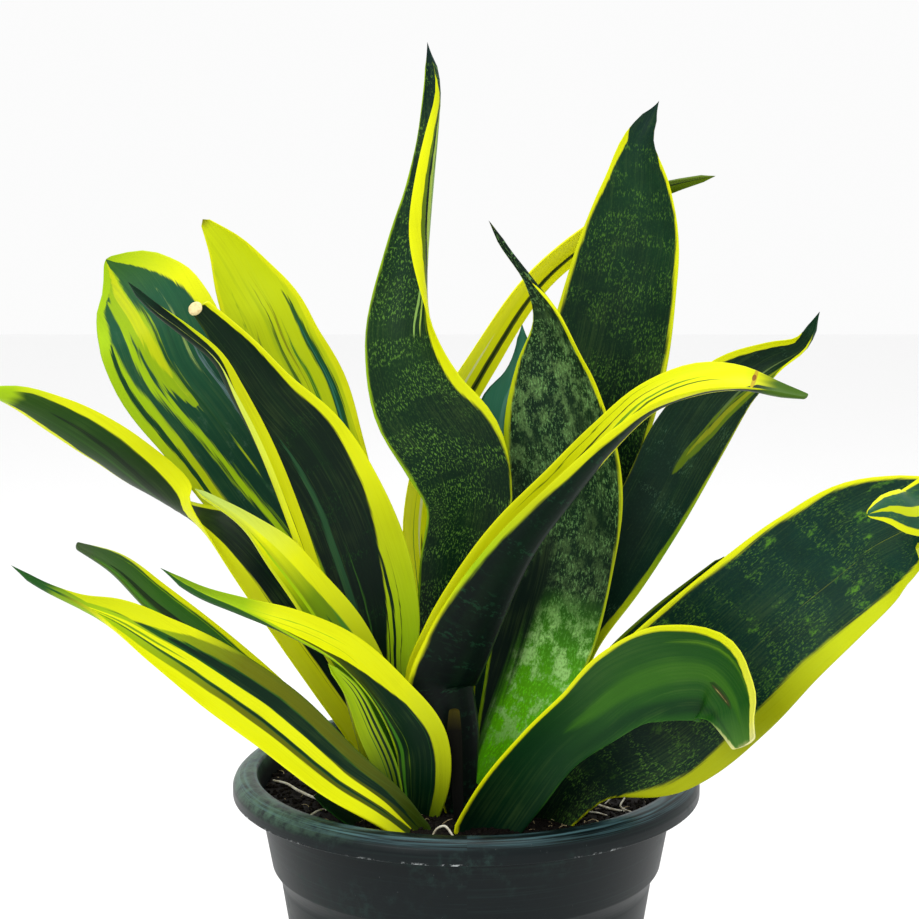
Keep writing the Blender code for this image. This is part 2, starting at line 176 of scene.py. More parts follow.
def buildStage(look):
    scene = bpy.context.scene
    camera = bpy.data.objects.new("camera", bpy.data.cameras.new("camera"))
    camera.location = look["cameraPlace"]
    camera.rotation_euler = (math.radians(90 - look["cameraPitch"]), 0.0, 0.0)
    camera.data.lens = look["lens"]
    camera.data.sensor_width = look["sensor"]
    camera.data.clip_start = 0.01
    camera.data.dof.use_dof = False
    scene.collection.objects.link(camera)
    scene.camera = camera
    scene.view_settings.view_transform = "Standard"
    world = bpy.data.worlds.new("studio")
    world.use_nodes = True
    sky = world.node_tree.nodes["Background"]
    sky.inputs[0].default_value = look["sky"]
    sky.inputs[1].default_value = look["skyStrength"]
    scene.world = world
    for name, spot, size, power in look["lights"]:
        lamp = bpy.data.lights.new(name, "AREA")
        lamp.size = size
        lamp.energy = power
        thing = bpy.data.objects.new(name, lamp)
        thing.location = spot
        sight = Vector(look["aim"]) - Vector(spot)
        thing.rotation_euler = sight.to_track_quat("-Z", "Y").to_euler()
        scene.collection.objects.link(thing)
    half = look["floorSize"] / 2
    sheet = bpy.data.meshes.new("floor")
    corners = [(-half, -half, 0), (half, -half, 0), (half, half, 0), (-half, half, 0)]
    sheet.from_pydata(corners, [], [(0, 1, 2, 3)])
    material, net, shader = newMaterial("paleFloor")
    shader.inputs["Base Color"].default_value = grey(look["floorTone"])
    shader.inputs["Roughness"].default_value = look["floorRoughness"]
    sheet.materials.append(material)
    floor = bpy.data.objects.new("floor", sheet)
    scene.collection.objects.link(floor)


buildStage(stageLook)
print("stage: camera, lights and floor")

# ---- finishing pieces


def place(name, mesh, replaced=()):
    # a finished mesh becomes a piece of the object, at the origin
    for polygon in mesh.polygons:
        polygon.use_smooth = True
    piece = bpy.data.objects.new(name, mesh)
    bpy.context.scene.collection.objects.link(piece)
    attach(piece, "root")
    if replaced:
        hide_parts(*replaced)
    return piece


def closeUp(mesh, reach):
    # merge doubles, drop what collapsed and turn the faces outwards
    work = bmesh.new()
    work.from_mesh(mesh)
    bmesh.ops.remove_doubles(work, verts=work.verts, dist=reach)
    bmesh.ops.dissolve_degenerate(work, dist=reach / 2, edges=work.edges)
    bmesh.ops.recalc_face_normals(work, faces=work.faces)
    work.to_mesh(mesh)
    work.free()


def runTree(tree, source, values):
    # a geometry tree over a source mesh, its inputs set by identifier, as a plain mesh
    carrier = bpy.data.objects.new("carrier", source)
    bpy.context.scene.collection.objects.link(carrier)
    modifier = carrier.modifiers.new("grow", "NODES")
    modifier.node_group = tree
    for item in tree.interface.items_tree:
        if item.item_type == "SOCKET" and item.in_out == "INPUT" and item.name in values:
            modifier[item.identifier] = values[item.name]
    graph = bpy.context.evaluated_depsgraph_get()
    grown = carrier.evaluated_get(graph)
    mesh = bpy.data.meshes.new_from_object(grown, preserve_all_data_layers=True, depsgraph=graph)
    carrier.modifiers.remove(modifier)
    bpy.data.objects.remove(carrier, do_unlink=True)
    return mesh


def newTree(name, **inputs):
    # a geometry tree with a mesh in and out and named inputs
    tree = bpy.data.node_groups.new(name, "GeometryNodeTree")
    tree.interface.new_socket("Geometry", in_out="INPUT", socket_type="NodeSocketGeometry")
    for label, kind in inputs.items():
        tree.interface.new_socket(label, in_out="INPUT", socket_type="NodeSocket" + kind)
    tree.interface.new_socket("Geometry", in_out="OUTPUT", socket_type="NodeSocketGeometry")
    entry = tree.nodes.new("NodeGroupInput")
    given = {socket.name: Wire(tree, socket) for socket in entry.outputs if socket.name}
    return tree, Wire(tree), given


def endTree(tree, geometry, material):
    # every tree ends in Realize Instances and Set Material
    whole = geometry.node("GeometryNodeRealizeInstances", {0: geometry})
    painted = whole.node("GeometryNodeSetMaterial", {"Geometry": whole, "Material": material})
    tree.links.new(painted.socket, tree.nodes.new("NodeGroupOutput").inputs[0])


# ---- leaves

# a leaf is a route from the soil to its tip; a row is x, y, z above the soil, turn, width and
# keel depth, in millimetres and degrees, and thick is its thickness at the soil, halfway and tip
soilTop = 0.164
bladeLook = {
    "stations": 72,       # sections along the leaf
    "around": 36,         # points around one section
    "foot": 0.012,        # length below the soil
    "footWidth": 0.9,
    "keelLimit": 0.7,     # a deep keel on a narrow blade makes it thinner
    "leastHalf": 0.0004,  # smallest half width, keel depth and bend
    "leastDepth": 0.0001,
    "leastBend": 0.02,
    "tipRound": 0.0012,   # length over which a blunt tip closes
    "ripple": 0.00022,    # unevenness of the blade towards its margins
    "rippleCells": 34.0,  # per metre along the leaf
    "weld": 0.000004,     # points closer than this are one
}
# the paint's noises: cells per metre across and along, shift of the seed, detail and roughness
grainLook = {
    "fibre": (1500.0, 26.0, 0.0, 3.0, 0.6),
    "streak": (420.0, 9.0, 7.1, 2.0, 0.5),
    "wander": (60.0, 45.0, 3.7, 2.0, 0.5),
    "band": (38.0, 105.0, 1.3, 2.0, 0.5),
    "fleck": (1700.0, 620.0, 5.9, 3.0, 0.65),
    "cloudy": (70.0, 60.0, 9.2, 3.0, 0.5),
    "blotch": (150.0, 95.0, 2.2, 6.0, 0.72),
    "speckle": (1300.0, 700.0, 4.4, 2.0, 0.5),
}

yellow = tone(226, 232, 4)
gold = tone(192, 204, 6)
lime = tone(160, 196, 10)
limeDeep = tone(112, 152, 14)
olive = tone(88, 112, 10)
oliveDeep = tone(46, 66, 8)
dark = tone(3, 36, 17)
deep = tone(1, 22, 13)
mid = tone(30, 82, 24)
grass = tone(66, 126, 30)
teal = tone(46, 112, 90)
pale = tone(186, 210, 110)
cream = tone(224, 220, 150)
bark = tone(84, 52, 20)
sheen = tone(150, 190, 90)
gloom = tone(8, 20, 8)


def rowsAlong(rows, places):
    # the rows read at given places along a smooth curve through them
    rows = np.array(rows, dtype=float)
    steps = np.linalg.norm(np.diff(rows[:, :3], axis=0), axis=1)
    knots = np.concatenate(([0.0], np.cumsum(steps)))
    slopes = np.gradient(rows, knots, axis=0)
    values = []
    for spot in places(knots[-1]):
        i = min(max(int(np.searchsorted(knots, spot, side="right")) - 1, 0), len(rows) - 2)
        span = knots[i + 1] - knots[i]
        t = (spot - knots[i]) / span
        start = (2 * t**3 - 3 * t**2 + 1) * rows[i] + (t**3 - 2 * t**2 + t) * span * slopes[i]
        end = (3 * t**2 - 2 * t**3) * rows[i + 1] + (t**3 - t**2) * span * slopes[i + 1]
        values.append(start + end)
    return np.array(values)


def routePoints(rows, tipLength):
    # stations along the rows, closer together towards the tip, with the buried foot in front
    look = bladeLook
    ends = [tipLength * (1 - math.sin(math.radians(a))) for a in (0, 15, 30, 45, 60, 75, 90)]

    def places(length):
        body = np.linspace(0.0, length - tipLength, look["stations"] - len(ends))[:-1]
        return np.concatenate((body, [length - e for e in ends]))

    values = rowsAlong(rows, places)
    points = values[:, :3] * mm + np.array((0.0, 0.0, soilTop))
    lean = points[1] - points[0]
    lean = lean / np.linalg.norm(lean) + np.array((0.0, 0.0, 1.0))
    foot = points[0] - lean / np.linalg.norm(lean) * look["foot"]
    footValue = values[0].copy()
    footValue[4] *= look["footWidth"]
    values = np.vstack((footValue, footValue, values))
    points = np.vstack((foot, foot + (points[0] - foot) * 0.02, points))
    return values, points


def stationFrame(points, i, turn):
    # the directions across the blade and out of its front face at one station
    last = len(points) - 1
    tangent = Vector(points[min(i + 1, last)] - points[max(i - 1, 0)]).normalized()
    front = Vector((0.0, -1.0, 0.0))
    face = (front - tangent * front.dot(tangent)).normalized()
    swing = tangent.cross(face)
    face = face * math.cos(turn) + swing * math.sin(turn)
    return tangent.cross(face), face


def routeMesh(name, rows, thick, point=None):
    # the leaf's route as points that carry what the blade tree needs at each station
    look = bladeLook
    tip = point or look["tipRound"]
    values, points = routePoints(rows, tip / mm)
    count = len(points)
    runs = np.linalg.norm(np.diff(points, axis=0), axis=1)
    along = np.concatenate(([0.0], np.cumsum(runs))) - look["foot"]
    length = along[-1]
    sides, faces, sizes, bends = [], [], [], []
    for i in range(count):
        _, _, _, turn, width, keel = values[i]
        side, face = stationFrame(points, i, math.radians(turn))
        half = max(width * mm / 2, look["leastHalf"])
        depth = max(keel * mm, look["leastDepth"])
        # half the angle of the bow that a section makes, never quite flat
        bend = max(min(math.pi / 2, 2 * math.atan2(depth, half)), look["leastBend"])
        share = min(max(along[i] / length, 0.0), 1.0)
        wall = np.interp(share, (0.0, 0.5, 1.0), thick) * mm / 2
        wall = min(wall, look["keelLimit"] * half * half / depth)
        # a pointed tip narrows almost straight and a blunt one is round
        fromTip = min((length - along[i]) / tip, 1.0)
        close = fromTip ** 0.8 if point else math.sqrt(max(0.0, 1 - (1 - fromTip) ** 2))
        close = close if i > 0 else 0.0
        sides.append(side)
        faces.append(face)
        sizes.append((half * close, depth * close, wall * close))
        bends.append(bend)
    mesh = bpy.data.meshes.new(name)
    mesh.from_pydata([tuple(p) for p in points], [(i, i + 1) for i in range(count - 1)], [])
    for label, data in (("side", sides), ("face", faces), ("size", sizes)):
        layer = mesh.attributes.new(label, "FLOAT_VECTOR", "POINT")
        layer.data.foreach_set("vector", np.array([tuple(v) for v in data]).ravel())
    for label, data in (("bend", bends), ("along", along)):
        layer = mesh.attributes.new(label, "FLOAT", "POINT")
        layer.data.foreach_set("value", np.array(data))
    return mesh, count, length


def buildBladeTree():
    tree, net, given = newTree(
        "blade", Stations="Int", Around="Int", Ripple="Float", Seed="Float", Finish="Material"
    )
    route = given["Geometry"]
    cells = {"Vertices X": given["Around"] + 1, "Vertices Y": given["Stations"]}
    sheet = net.node("GeometryNodeMeshGrid", {"Size X": 1.0, "Size Y": 1.0, **cells})
    across, down, _ = net.node("GeometryNodeInputPosition").parts()
    ring = (across + 0.5) * math.tau
    station = net.maths("ROUND", (down + 0.5) * (given["Stations"] - 1))

    def sample(field, dataType):
        values = {"Geometry": route, "Value": field, "Index": station}
        return net.node("GeometryNodeSampleIndex", values, data_type=dataType, domain="POINT")

    def read(label, dataType):
        stored = net.node("GeometryNodeInputNamedAttribute", {"Name": label}, data_type=dataType)
        return sample(stored, dataType)

    centre = sample(net.node("GeometryNodeInputPosition"), "FLOAT_VECTOR")
    side = read("side", "FLOAT_VECTOR")
    face = read("face", "FLOAT_VECTOR")
    half, depth, wall = read("size", "FLOAT_VECTOR").parts()
    bend = read("bend", "FLOAT")
    along = read("along", "FLOAT")
    u = net.maths("COSINE", ring) * -1.0  # -1 at the left margin, 1 at the right
    # 1 on the front face and -1 on the back, with a short change at the margins
    lift = net.maths("SINE", ring) * 8.0
    upper = net.maths("MAXIMUM", net.maths("MINIMUM", lift, 1.0), -1.0)
    # the middle line of a section is a bow with the given half width and depth
    angle = bend * u
    sine = net.maths("SINE", angle)
    cosine = net.maths("COSINE", angle)
    wide = net.maths("SINE", bend)
    short = net.maths("COSINE", bend)
    outward = half * sine / wide
    behind = depth * (cosine - short) / (1.0 - short)
    run = half * cosine / wide
    rise = depth * sine / (1.0 - short)
    # unevenness that grows towards the margins and fades where the leaf is narrow
    rough = net.cloud(along * bladeLook["rippleCells"], u * 0.7, given["Seed"], 1.0) - 0.5
    settle = net.maths("MINIMUM", half * 160.0, 1.0)
    uneven = rough * given["Ripple"] * u * u * settle * 2.0
    # the thickness, full in the middle and thin at the margins
    body = net.maths("SQRT", 1.0 - u * u * 0.97)
    outwards = body * wall * upper + uneven

    def stretch(vector, amount):
        return net.node("ShaderNodeVectorMath", {0: vector, "Scale": amount}, operation="SCALE")

    def join(first, second):
        return net.node("ShaderNodeVectorMath", {0: first, 1: second}, operation="ADD")

    upright = join(stretch(face, run), stretch(side, rise * -1.0))
    normal = net.node("ShaderNodeVectorMath", {0: upright}, operation="NORMALIZE")
    bowed = join(centre, stretch(side, outward))
    spot = join(bowed, join(stretch(face, behind * -1.0), stretch(normal, outwards)))
    # the pattern's own coordinates are stored before the sheet is bent
    pattern = net.point(u, half * u, along)
    stored = net.node(
        "GeometryNodeStoreNamedAttribute",
        {"Geometry": sheet, "Name": "blade", "Value": pattern},
        data_type="FLOAT_VECTOR", domain="POINT",
    )
    bent = net.node("GeometryNodeSetPosition", {"Geometry": stored, "Position": spot})
    sewn = net.node("GeometryNodeMergeByDistance", {"Geometry": bent, "Distance": bladeLook["weld"]})
    endTree(tree, sewn, given["Finish"])
    return tree


def leafMaterial(name, look, length, seed):
    material, net, shader = newMaterial(name)
    # u is the place across from -1 to 1, w the same and v the place along in metres, t a share
    u, w, v = net.node("ShaderNodeAttribute", out=1, attribute_name="blade").parts()
    t = net.maths("MINIMUM", net.maths("MAXIMUM", v / length, 0.0), 1.0)

    def pattern(key, cells=None):
        across, along, shift, detail, roughness = grainLook[key]
        across, along = cells or (across, along)
        return net.cloud(w * across, v * along, seed + shift, detail, roughness)

    fibre = pattern("fibre")
    streak = pattern("streak")
    wander = pattern("wander")
    edge = u + (fibre - 0.5) * look.get("fray", 0.1) + (wander - 0.5) * 0.1

    def over(stops):
        # a value or colour that changes along the leaf
        if not isinstance(stops, list):
            return stops
        stops = [(share, value if isinstance(value, tuple) else grey(value)) for share, value in stops]
        return t.node("ShaderNodeValToRGB", {0: t}, stops=stops)

    def inside(stripe):
        # how far a place lies inside a stripe that tapers at both of its ends
        baseU, tipU, halfWide, start, end, _ = stripe
        centre = t * (tipU - baseU) + baseU
        span = (t - start) * (end - t) * (4.0 / (end - start) ** 2)
        taper = net.maths("SQRT", net.maths("MAXIMUM", span, 0.0)) * halfWide
        return taper - net.maths("ABSOLUTE", edge - centre)

    def flecks():
        return pattern("fleck").ease(0.53, 0.62)

    colour = over(look["ground"])
    # mottling: fine light flecks gathered in bands across the blade
    if "mottle" in look:
        low = look.get("bandLow", 0.5)
        bands = pattern("band", look.get("bandCells")).ease(low, low + 0.12)
        colour = ((bands * 0.88 + 0.12) * flecks() * look["mottle"]).blend(colour, look["fleck"])
        colour = (pattern("cloudy").ease(0.35, 0.75) * 0.35).blend(colour, deep)
    if "glow" in look:
        # a lighter foot, used for painted light as well as the leaf's own green: strength by share of
        # the length, colour
        strength, paint = look["glow"]
        colour = (over(strength) * (flecks() * 0.3 + 0.7)).blend(colour, paint)
    if "patches" in look:
        # low, high, colour, strength by share of the length
        low, high, paint, strength = look["patches"]
        speckle = pattern("speckle").ease(0.34, 0.54) * 0.55 + 0.45
        colour = (pattern("blotch").ease(low, high) * speckle * over(strength)).blend(colour, paint)
    # a stripe is its place across at the soil and at the tip, half its width, where it starts and
    # ends along the leaf, and its colour
    for stripe in look.get("stripes", []):
        torn = (streak - 0.5) * stripe[2] * look.get("ragged", 0.6)
        mask = (inside(stripe) + torn).ease(0.0, look.get("stripeSoft", 0.045))
        colour = mask.blend(colour, stripe[5])
    streaks = streak.ease(0.5, 0.8) * look.get("streaks", 0.16)
    colour = streaks.blend(colour, look.get("streakTone", mid))
    # margins: width and colour by share of the length
    for sign, key in ((1.0, "left"), (-1.0, "right")):
        if key not in look:
            continue
        widths, paint = look[key]
        reach = over([(share, width * 2.0) for share, width in widths])
        mask = (reach - (edge * sign + 1.0)).ease(-0.02, look.get("soft", 0.045))
        colour = mask.blend(colour, over(paint))
    # narrow lines that lie over the margins
    for line in look.get("lines", []):
        colour = inside(line).ease(0.0, 0.02).blend(colour, line[5])
    if "tip" in look:
        start, paint = look["tip"]
        colour = (t + (streak - 0.5) * 0.03).ease(start, start + 0.03).blend(colour, paint)
    shading = (fibre - 0.5) * 0.18 + (wander - 0.5) * 0.14
    colour = net.maths("MAXIMUM", shading, 0.0).blend(colour, look.get("sheen", sheen))
    colour = net.maths("MAXIMUM", shading * -1.6, 0.0).blend(colour, gloom)
    feed(net, shader, "Base Color", colour)
    feed(net, shader, "Roughness", (fibre - 0.5) * 0.16 + look.get("rough", 0.44))
    shader.inputs["Specular IOR Level"].default_value = 0.13
    height = fibre * 0.6 + streak * 0.6 + wander * 0.8
    feed(net, shader, "Normal", net.bump(0.35, 0.0003, height))
    return material


def evenly(width):
    return [(0.0, width), (1.0, width)]


# thick and rows give the shape; a point is the length of a sharp tip. The rest is the paint: a
# ground along the leaf, its margins (left and right), stripes, narrow lines, mottling in flecks,
# patches, a glow at the foot, the tip's colour, and how torn or soft the edges of these are
leaves = {
    "leaf_front_low": {
        "slot": "leaf_lime", "thick": (3.6, 2.2, 1.2), "point": 0.008,
        "rows": [
            (-19, -59, 0, 38, 12, 4), (-30, -65, 13, 46, 19, 4), (-49, -70, 29, 45, 25, 5),
            (-73, -75, 52, 42, 29, 5), (-97, -82, 72, 45, 28, 4), (-115, -91, 87, 50, 22, 4),
            (-131, -99, 100, 62, 15, 4), (-143, -105, 107, 84, 8, 3), (-155, -108, 113, 92, 5, 2),
            (-167, -112, 121, 90, 2, 1),
        ],
        "ground": [
            (0.0, oliveDeep), (0.25, tone(84, 90, 4)), (0.5, tone(104, 110, 2)),
            (0.6, tone(132, 150, 8)), (0.8, lime), (1.0, mid),
        ],
        "stripes": [
            (0.06, 0.04, 0.22, 0.0, 0.9, yellow), (0.06, 0.0, 0.06, 0.6, 0.88, limeDeep),
            (-0.22, -0.14, 0.085, 0.0, 0.84, mid), (-0.2, -0.18, 0.06, 0.0, 0.62, dark),
            (0.48, 0.3, 0.21, 0.02, 0.74, mid), (0.46, 0.32, 0.19, 0.0, 0.66, dark),
        ],
        "left": (
            [(0.0, 0.3), (0.5, 0.3), (0.75, 0.22), (0.84, 0.1), (1.0, 0.04)],
            [(0.0, gold), (0.12, yellow), (0.8, yellow), (0.9, mid)],
        ),
        "right": (
            [(0.0, 0.02), (0.5, 0.02), (0.62, 0.14), (0.74, 0.34), (0.84, 0.26), (0.9, 0.0)],
            [(0.0, oliveDeep), (0.5, olive), (0.62, yellow), (1.0, gold)],
        ),
        "tip": (0.9, mid),
    },
    "leaf_low_left": {
        "thick": (3.4, 2.0, 1.2),
        "rows": [
            (-42, -24, 0, 50, 14, 5), (-57, -25, 22, 60, 22, 6), (-78, -28, 46, 66, 26, 5),
            (-102, -33, 71, 72, 26, 4), (-125, -40, 93, 72, 22, 4), (-140, -48, 109, 72, 14, 3),
            (-154, -56, 118, 72, 4, 1),
        ],
        "ground": [(0.0, dark), (0.35, mid), (0.75, tone(48, 96, 28)), (1.0, tone(60, 84, 48))],
        "stripes": [(0.1, 0.0, 0.22, 0.25, 0.9, dark), (-0.5, -0.4, 0.2, 0.5, 1.0, grass)],
        "left": (evenly(0.02), olive),
        "right": (
            [(0.0, 0.1), (0.45, 0.1), (0.8, 0.09), (0.92, 0.03), (1.0, 0.0)],
            [(0.0, yellow), (0.8, yellow), (1.0, pale)],
        ),
        "lines": [(0.72, 0.76, 0.03, 0.4, 0.9, limeDeep)],
        "tip": (0.94, tone(60, 80, 50)),
    },
    "leaf_front_spiked": {
        "slot": "leaf_lime", "thick": (3.2, 2.0, 1.2), "point": 0.01,
        "rows": [
            (-18, -42, 0, 16, 13, 5), (-17, -45, 14, 12, 20, 5), (-18, -46, 33, 14, 22, 5),
            (-30, -48, 55, 42, 19, 5), (-47, -52, 74, 56, 18, 4), (-67, -60, 87, 62, 15, 4),
            (-87, -68, 97, 78, 10, 4), (-103, -73, 104, 86, 7, 3), (-118, -77, 113, 85, 2, 1),
        ],
        "ground": [(0.0, dark), (0.45, dark), (0.6, oliveDeep), (0.75, mid), (1.0, mid)],
        "stripes": [
            (-0.8, -0.7, 0.09, 0.0, 0.44, grass), (-0.52, -0.45, 0.03, 0.03, 0.46, limeDeep),
            (0.3, 0.26, 0.022, 0.0, 0.5, grass),
        ],
        "left": ([(0.0, 0.02), (0.5, 0.02), (0.62, 0.1), (0.9, 0.02)], [(0.0, lime), (1.0, lime)]),
        "right": (
            [
                (0.0, 0.26), (0.3, 0.32), (0.42, 0.52), (0.56, 0.8), (0.74, 0.72), (0.86, 0.5),
                (1.0, 0.42),
            ],
            [(0.0, olive), (0.18, gold), (0.34, yellow), (0.7, yellow), (0.78, lime), (1.0, limeDeep)],
        ),
        "lines": [(0.5, 0.3, 0.03, 0.5, 0.78, lime), (0.1, 0.0, 0.04, 0.45, 0.8, gold)],
        "tip": (0.96, mid),
    },
    "leaf_young_striped": {
        "thick": (2.2, 1.4, 0.9), "point": 0.004,
        "rows": [
            (-28, -52, 0, 20, 8, 2), (-32, -54, 24, 22, 10, 2), (-39, -57, 43, 30, 10, 2),
            (-46, -59, 60, 40, 7, 2), (-55, -60, 71, 50, 2, 1),
        ],
        "ground": [(0.0, oliveDeep), (0.3, olive), (0.6, tone(150, 176, 8)), (1.0, lime)],
        "stripes": [
            (0.05, 0.0, 0.05, 0.0, 0.8, mid), (0.36, 0.3, 0.11, 0.0, 0.92, dark),
            (0.76, 0.68, 0.13, 0.0, 0.94, dark),
        ],
        "right": (evenly(0.05), limeDeep),
        "tip": (0.92, lime),
    },
    "leaf_far_left": {
        "thick": (4.0, 2.2, 1.2),
        "rows": [
            (-31, 4, 4, 30, 17, 6), (-43, 2, 30, 32, 24, 6), (-58, 0, 54, 38, 27, 5),
            (-77, -1, 82, 46, 28, 4), (-93, -1, 104, 56, 28, 4), (-106, 2, 119, 75, 28, 6),
            (-119, 5, 128, 112, 30, 7), (-132, -2, 138, 140, 28, 5), (-148, -16, 153, 152, 25, 3),
            (-167, -28, 167, 155, 19, 2), (-180, -38, 175, 156, 11, 2), (-189, -44, 178, 156, 4, 1),
        ],
        "ground": [
            (0.0, deep), (0.48, deep), (0.56, tone(20, 42, 6)), (0.68, tone(22, 50, 7)),
            (0.85, tone(30, 66, 10)), (1.0, tone(46, 80, 12)),
        ],
        "stripes": [
            (0.2, 0.3, 0.08, 0.6, 0.95, tone(38, 76, 14)), (0.5, -0.2, 0.12, 0.5, 0.9, tone(14, 36, 8)),
        ],
        "left": (
            [(0.0, 0.42), (0.3, 0.4), (0.5, 0.36), (0.62, 0.26), (0.8, 0.2), (0.94, 0.16), (1.0, 0.3)],
            [(0.0, gold), (0.3, yellow), (0.9, yellow), (1.0, lime)],
        ),
        "right": (
            [(0.0, 0.02), (0.45, 0.03), (0.55, 0.1), (0.8, 0.08), (1.0, 0.2)],
            [(0.0, oliveDeep), (0.5, gold), (1.0, yellow)],
        ),
        "lines": [(-0.3, -0.3, 0.02, 0.1, 0.5, olive)],
        "tip": (0.945, lime),
    },
    "leaf_broad_striped": {
        "thick": (4.2, 2.4, 1.4),
        "rows": [
            (-37, 22, 0, 19, 20, 6), (-48, 22, 48, 16, 29, 6), (-60, 21, 80, 15, 36, 5),
            (-75, 21, 108, 14, 42, 5), (-90, 23, 129, 12, 47, 5), (-110, 22, 159, 9, 52, 5),
            (-126, 23, 181, 6, 54, 5), (-134, 26, 200, 4, 53, 5), (-142, 34, 212, 5, 45, 4),
            (-148, 38, 219, 8, 31, 3), (-153, 40, 223, 8, 16, 2), (-157, 41, 226, 8, 3, 1),
        ],
        "ground": [
            (0.0, deep), (0.35, tone(6, 36, 28)), (0.55, tone(12, 56, 38)), (0.9, tone(24, 80, 50)),
            (1.0, tone(50, 96, 30)),
        ],
        "stripes": [
            (0.28, -0.66, 0.1, 0.18, 0.96, lime), (0.34, -0.5, 0.035, 0.22, 0.62, limeDeep),
            (1.1, -0.55, 0.26, 0.7, 1.12, tone(148, 180, 8)), (0.98, -0.47, 0.13, 0.76, 1.1, gold),
            (0.62, -0.22, 0.045, 0.6, 0.97, tone(20, 66, 30)),
            (0.3, 0.1, 0.03, 0.66, 0.98, tone(18, 62, 40)), (-0.3, -0.98, 0.05, 0.45, 0.8, limeDeep),
            (0.52, 0.28, 0.03, 0.7, 0.92, pale), (0.1, -0.62, 0.035, 0.45, 0.75, tone(10, 56, 28)),
        ],
        "left": (
            [(0.0, 0.05), (0.3, 0.16), (0.55, 0.2), (0.75, 0.2), (0.86, 0.1), (0.93, 0.1), (1.0, 0.3)],
            [(0.0, olive), (0.35, lime), (0.55, gold), (0.75, lime), (1.0, lime)],
        ),
        "right": (
            [(0.0, 0.02), (0.74, 0.03), (0.84, 0.12), (0.93, 0.22), (1.0, 0.4)],
            [(0.0, deep), (0.7, gold), (0.9, yellow), (1.0, lime)],
        ),
        "lines": [
            (-0.74, -0.84, 0.06, 0.5, 0.86, tone(18, 64, 30)),
            (-0.86, -0.9, 0.02, 0.3, 0.6, tone(18, 64, 30)),
            (0.56, 0.4, 0.035, 0.36, 0.82, tone(92, 116, 122)),
            (0.61, 0.45, 0.02, 0.36, 0.8, tone(14, 38, 42)),
            (0.74, 0.64, 0.02, 0.3, 0.66, tone(50, 76, 80)),
        ],
        "streaks": 0.2, "streakTone": tone(50, 110, 60), "ragged": 1.5, "fray": 0.14,
        "patches": (
            0.56, 0.7, tone(84, 116, 100),
            [(0.0, 0.0), (0.35, 0.0), (0.5, 0.4), (0.75, 0.15), (1.0, 0.0)],
        ),
    },
    "leaf_yellow": {
        "slot": "leaf_lime", "thick": (3.8, 2.2, 1.2), "point": 0.002,
        "rows": [
            (-20, 30, 0, 10, 13, 4), (-25, 31, 23, 9, 14, 4), (-32, 34, 53, 2, 19, 5),
            (-42, 38, 81, 1, 27, 5), (-54, 42, 111, 1, 34, 5), (-65, 46, 142, 1, 40, 5),
            (-74, 50, 167, 3, 43, 5), (-84, 52, 186, 3, 41, 5), (-90, 54, 201, 4, 37, 4),
            (-98, 57, 215, 6, 29, 4), (-106, 59, 229, 8, 18, 3), (-117, 60, 243, 10, 3, 1),
        ],
        "ground": [(0.0, gold), (0.3, gold), (0.5, tone(186, 206, 6)), (1.0, tone(206, 220, 6))],
        "stripes": [
            (0.52, 0.74, 0.12, 0.42, 0.84, mid), (0.52, 0.72, 0.085, 0.44, 0.82, tone(12, 76, 46)),
            (0.22, 0.36, 0.06, 0.48, 0.8, grass), (-0.1, 0.14, 0.05, 0.46, 0.88, tone(60, 96, 24)),
            (-0.36, -0.3, 0.045, 0.48, 0.82, tone(70, 106, 30)), (0.1, 0.24, 0.03, 0.55, 0.9, bark),
            (-0.62, -0.5, 0.03, 0.56, 0.9, limeDeep), (-0.02, 0.2, 0.022, 0.5, 0.78, dark),
            (-0.3, -0.3, 0.1, 0.0, 0.4, lime), (0.35, 0.3, 0.12, 0.0, 0.42, limeDeep),
        ],
        "left": (evenly(0.06), yellow),
        "right": (evenly(0.07), yellow),
        "lines": [(0.54, 0.7, 0.03, 0.52, 0.8, teal), (0.5, 0.66, 0.03, 0.44, 0.62, deep)],
        "streaks": 0.5, "streakTone": limeDeep, "fray": 0.18, "tip": (0.978, bark),
    },
    "leaf_cut_tip": {
        "thick": (4.0, 2.4, 3.2),
        "rows": [
            (-24, -9, 0, 0, 14, 4), (-28, -9, 25, 0, 17, 5), (-34, -9, 52, 0, 25, 5),
            (-36, -10, 77, 1, 33, 5), (-43, -12, 104, 2, 38, 5), (-52, -14, 129, 4, 36, 5),
            (-65, -17, 153, 8, 33, 5), (-80, -21, 172, 10, 25, 5), (-93, -25, 192, 12, 16, 4),
            (-102, -28, 204, 12, 10, 3), (-107, -30, 210, 12, 7, 3),
        ],
        "ground": [(0.0, tone(6, 38, 22)), (0.4, deep), (1.0, tone(4, 34, 14))],
        "stripes": [
            (-0.62, -0.5, 0.1, 0.05, 0.75, tone(34, 76, 44)), (-0.3, -0.3, 0.03, 0.1, 0.5, grass),
        ],
        "left": (
            [(0.0, 0.1), (0.45, 0.04), (0.6, 0.01), (1.0, 0.01)],
            [(0.0, olive), (0.4, lime), (1.0, oliveDeep)],
        ),
        "right": (
            [
                (0.0, 0.52), (0.3, 0.46), (0.45, 0.34), (0.58, 0.2), (0.72, 0.13), (0.9, 0.1),
                (1.0, 0.16),
            ],
            [(0.0, limeDeep), (0.3, lime), (0.5, gold), (0.6, yellow), (1.0, yellow)],
        ),
        "lines": [
            (0.1, 0.3, 0.03, 0.02, 0.62, deep), (0.26, 0.44, 0.05, 0.0, 0.55, dark),
            (0.48, 0.58, 0.02, 0.05, 0.48, oliveDeep),
        ],
        "mottle": 0.3, "fleck": mid,
    },
    "leaf_hooked": {
        "thick": (2.6, 1.6, 1.0), "point": 0.006,
        "rows": [
            (-36, -11, 0, 60, 9, 3), (-45, -15, 42, 75, 11, 4), (-53, -18, 70, 80, 12, 4),
            (-61, -21, 97, 80, 13, 4), (-69, -23, 122, 78, 13, 4), (-82, -27, 157, 78, 12, 4),
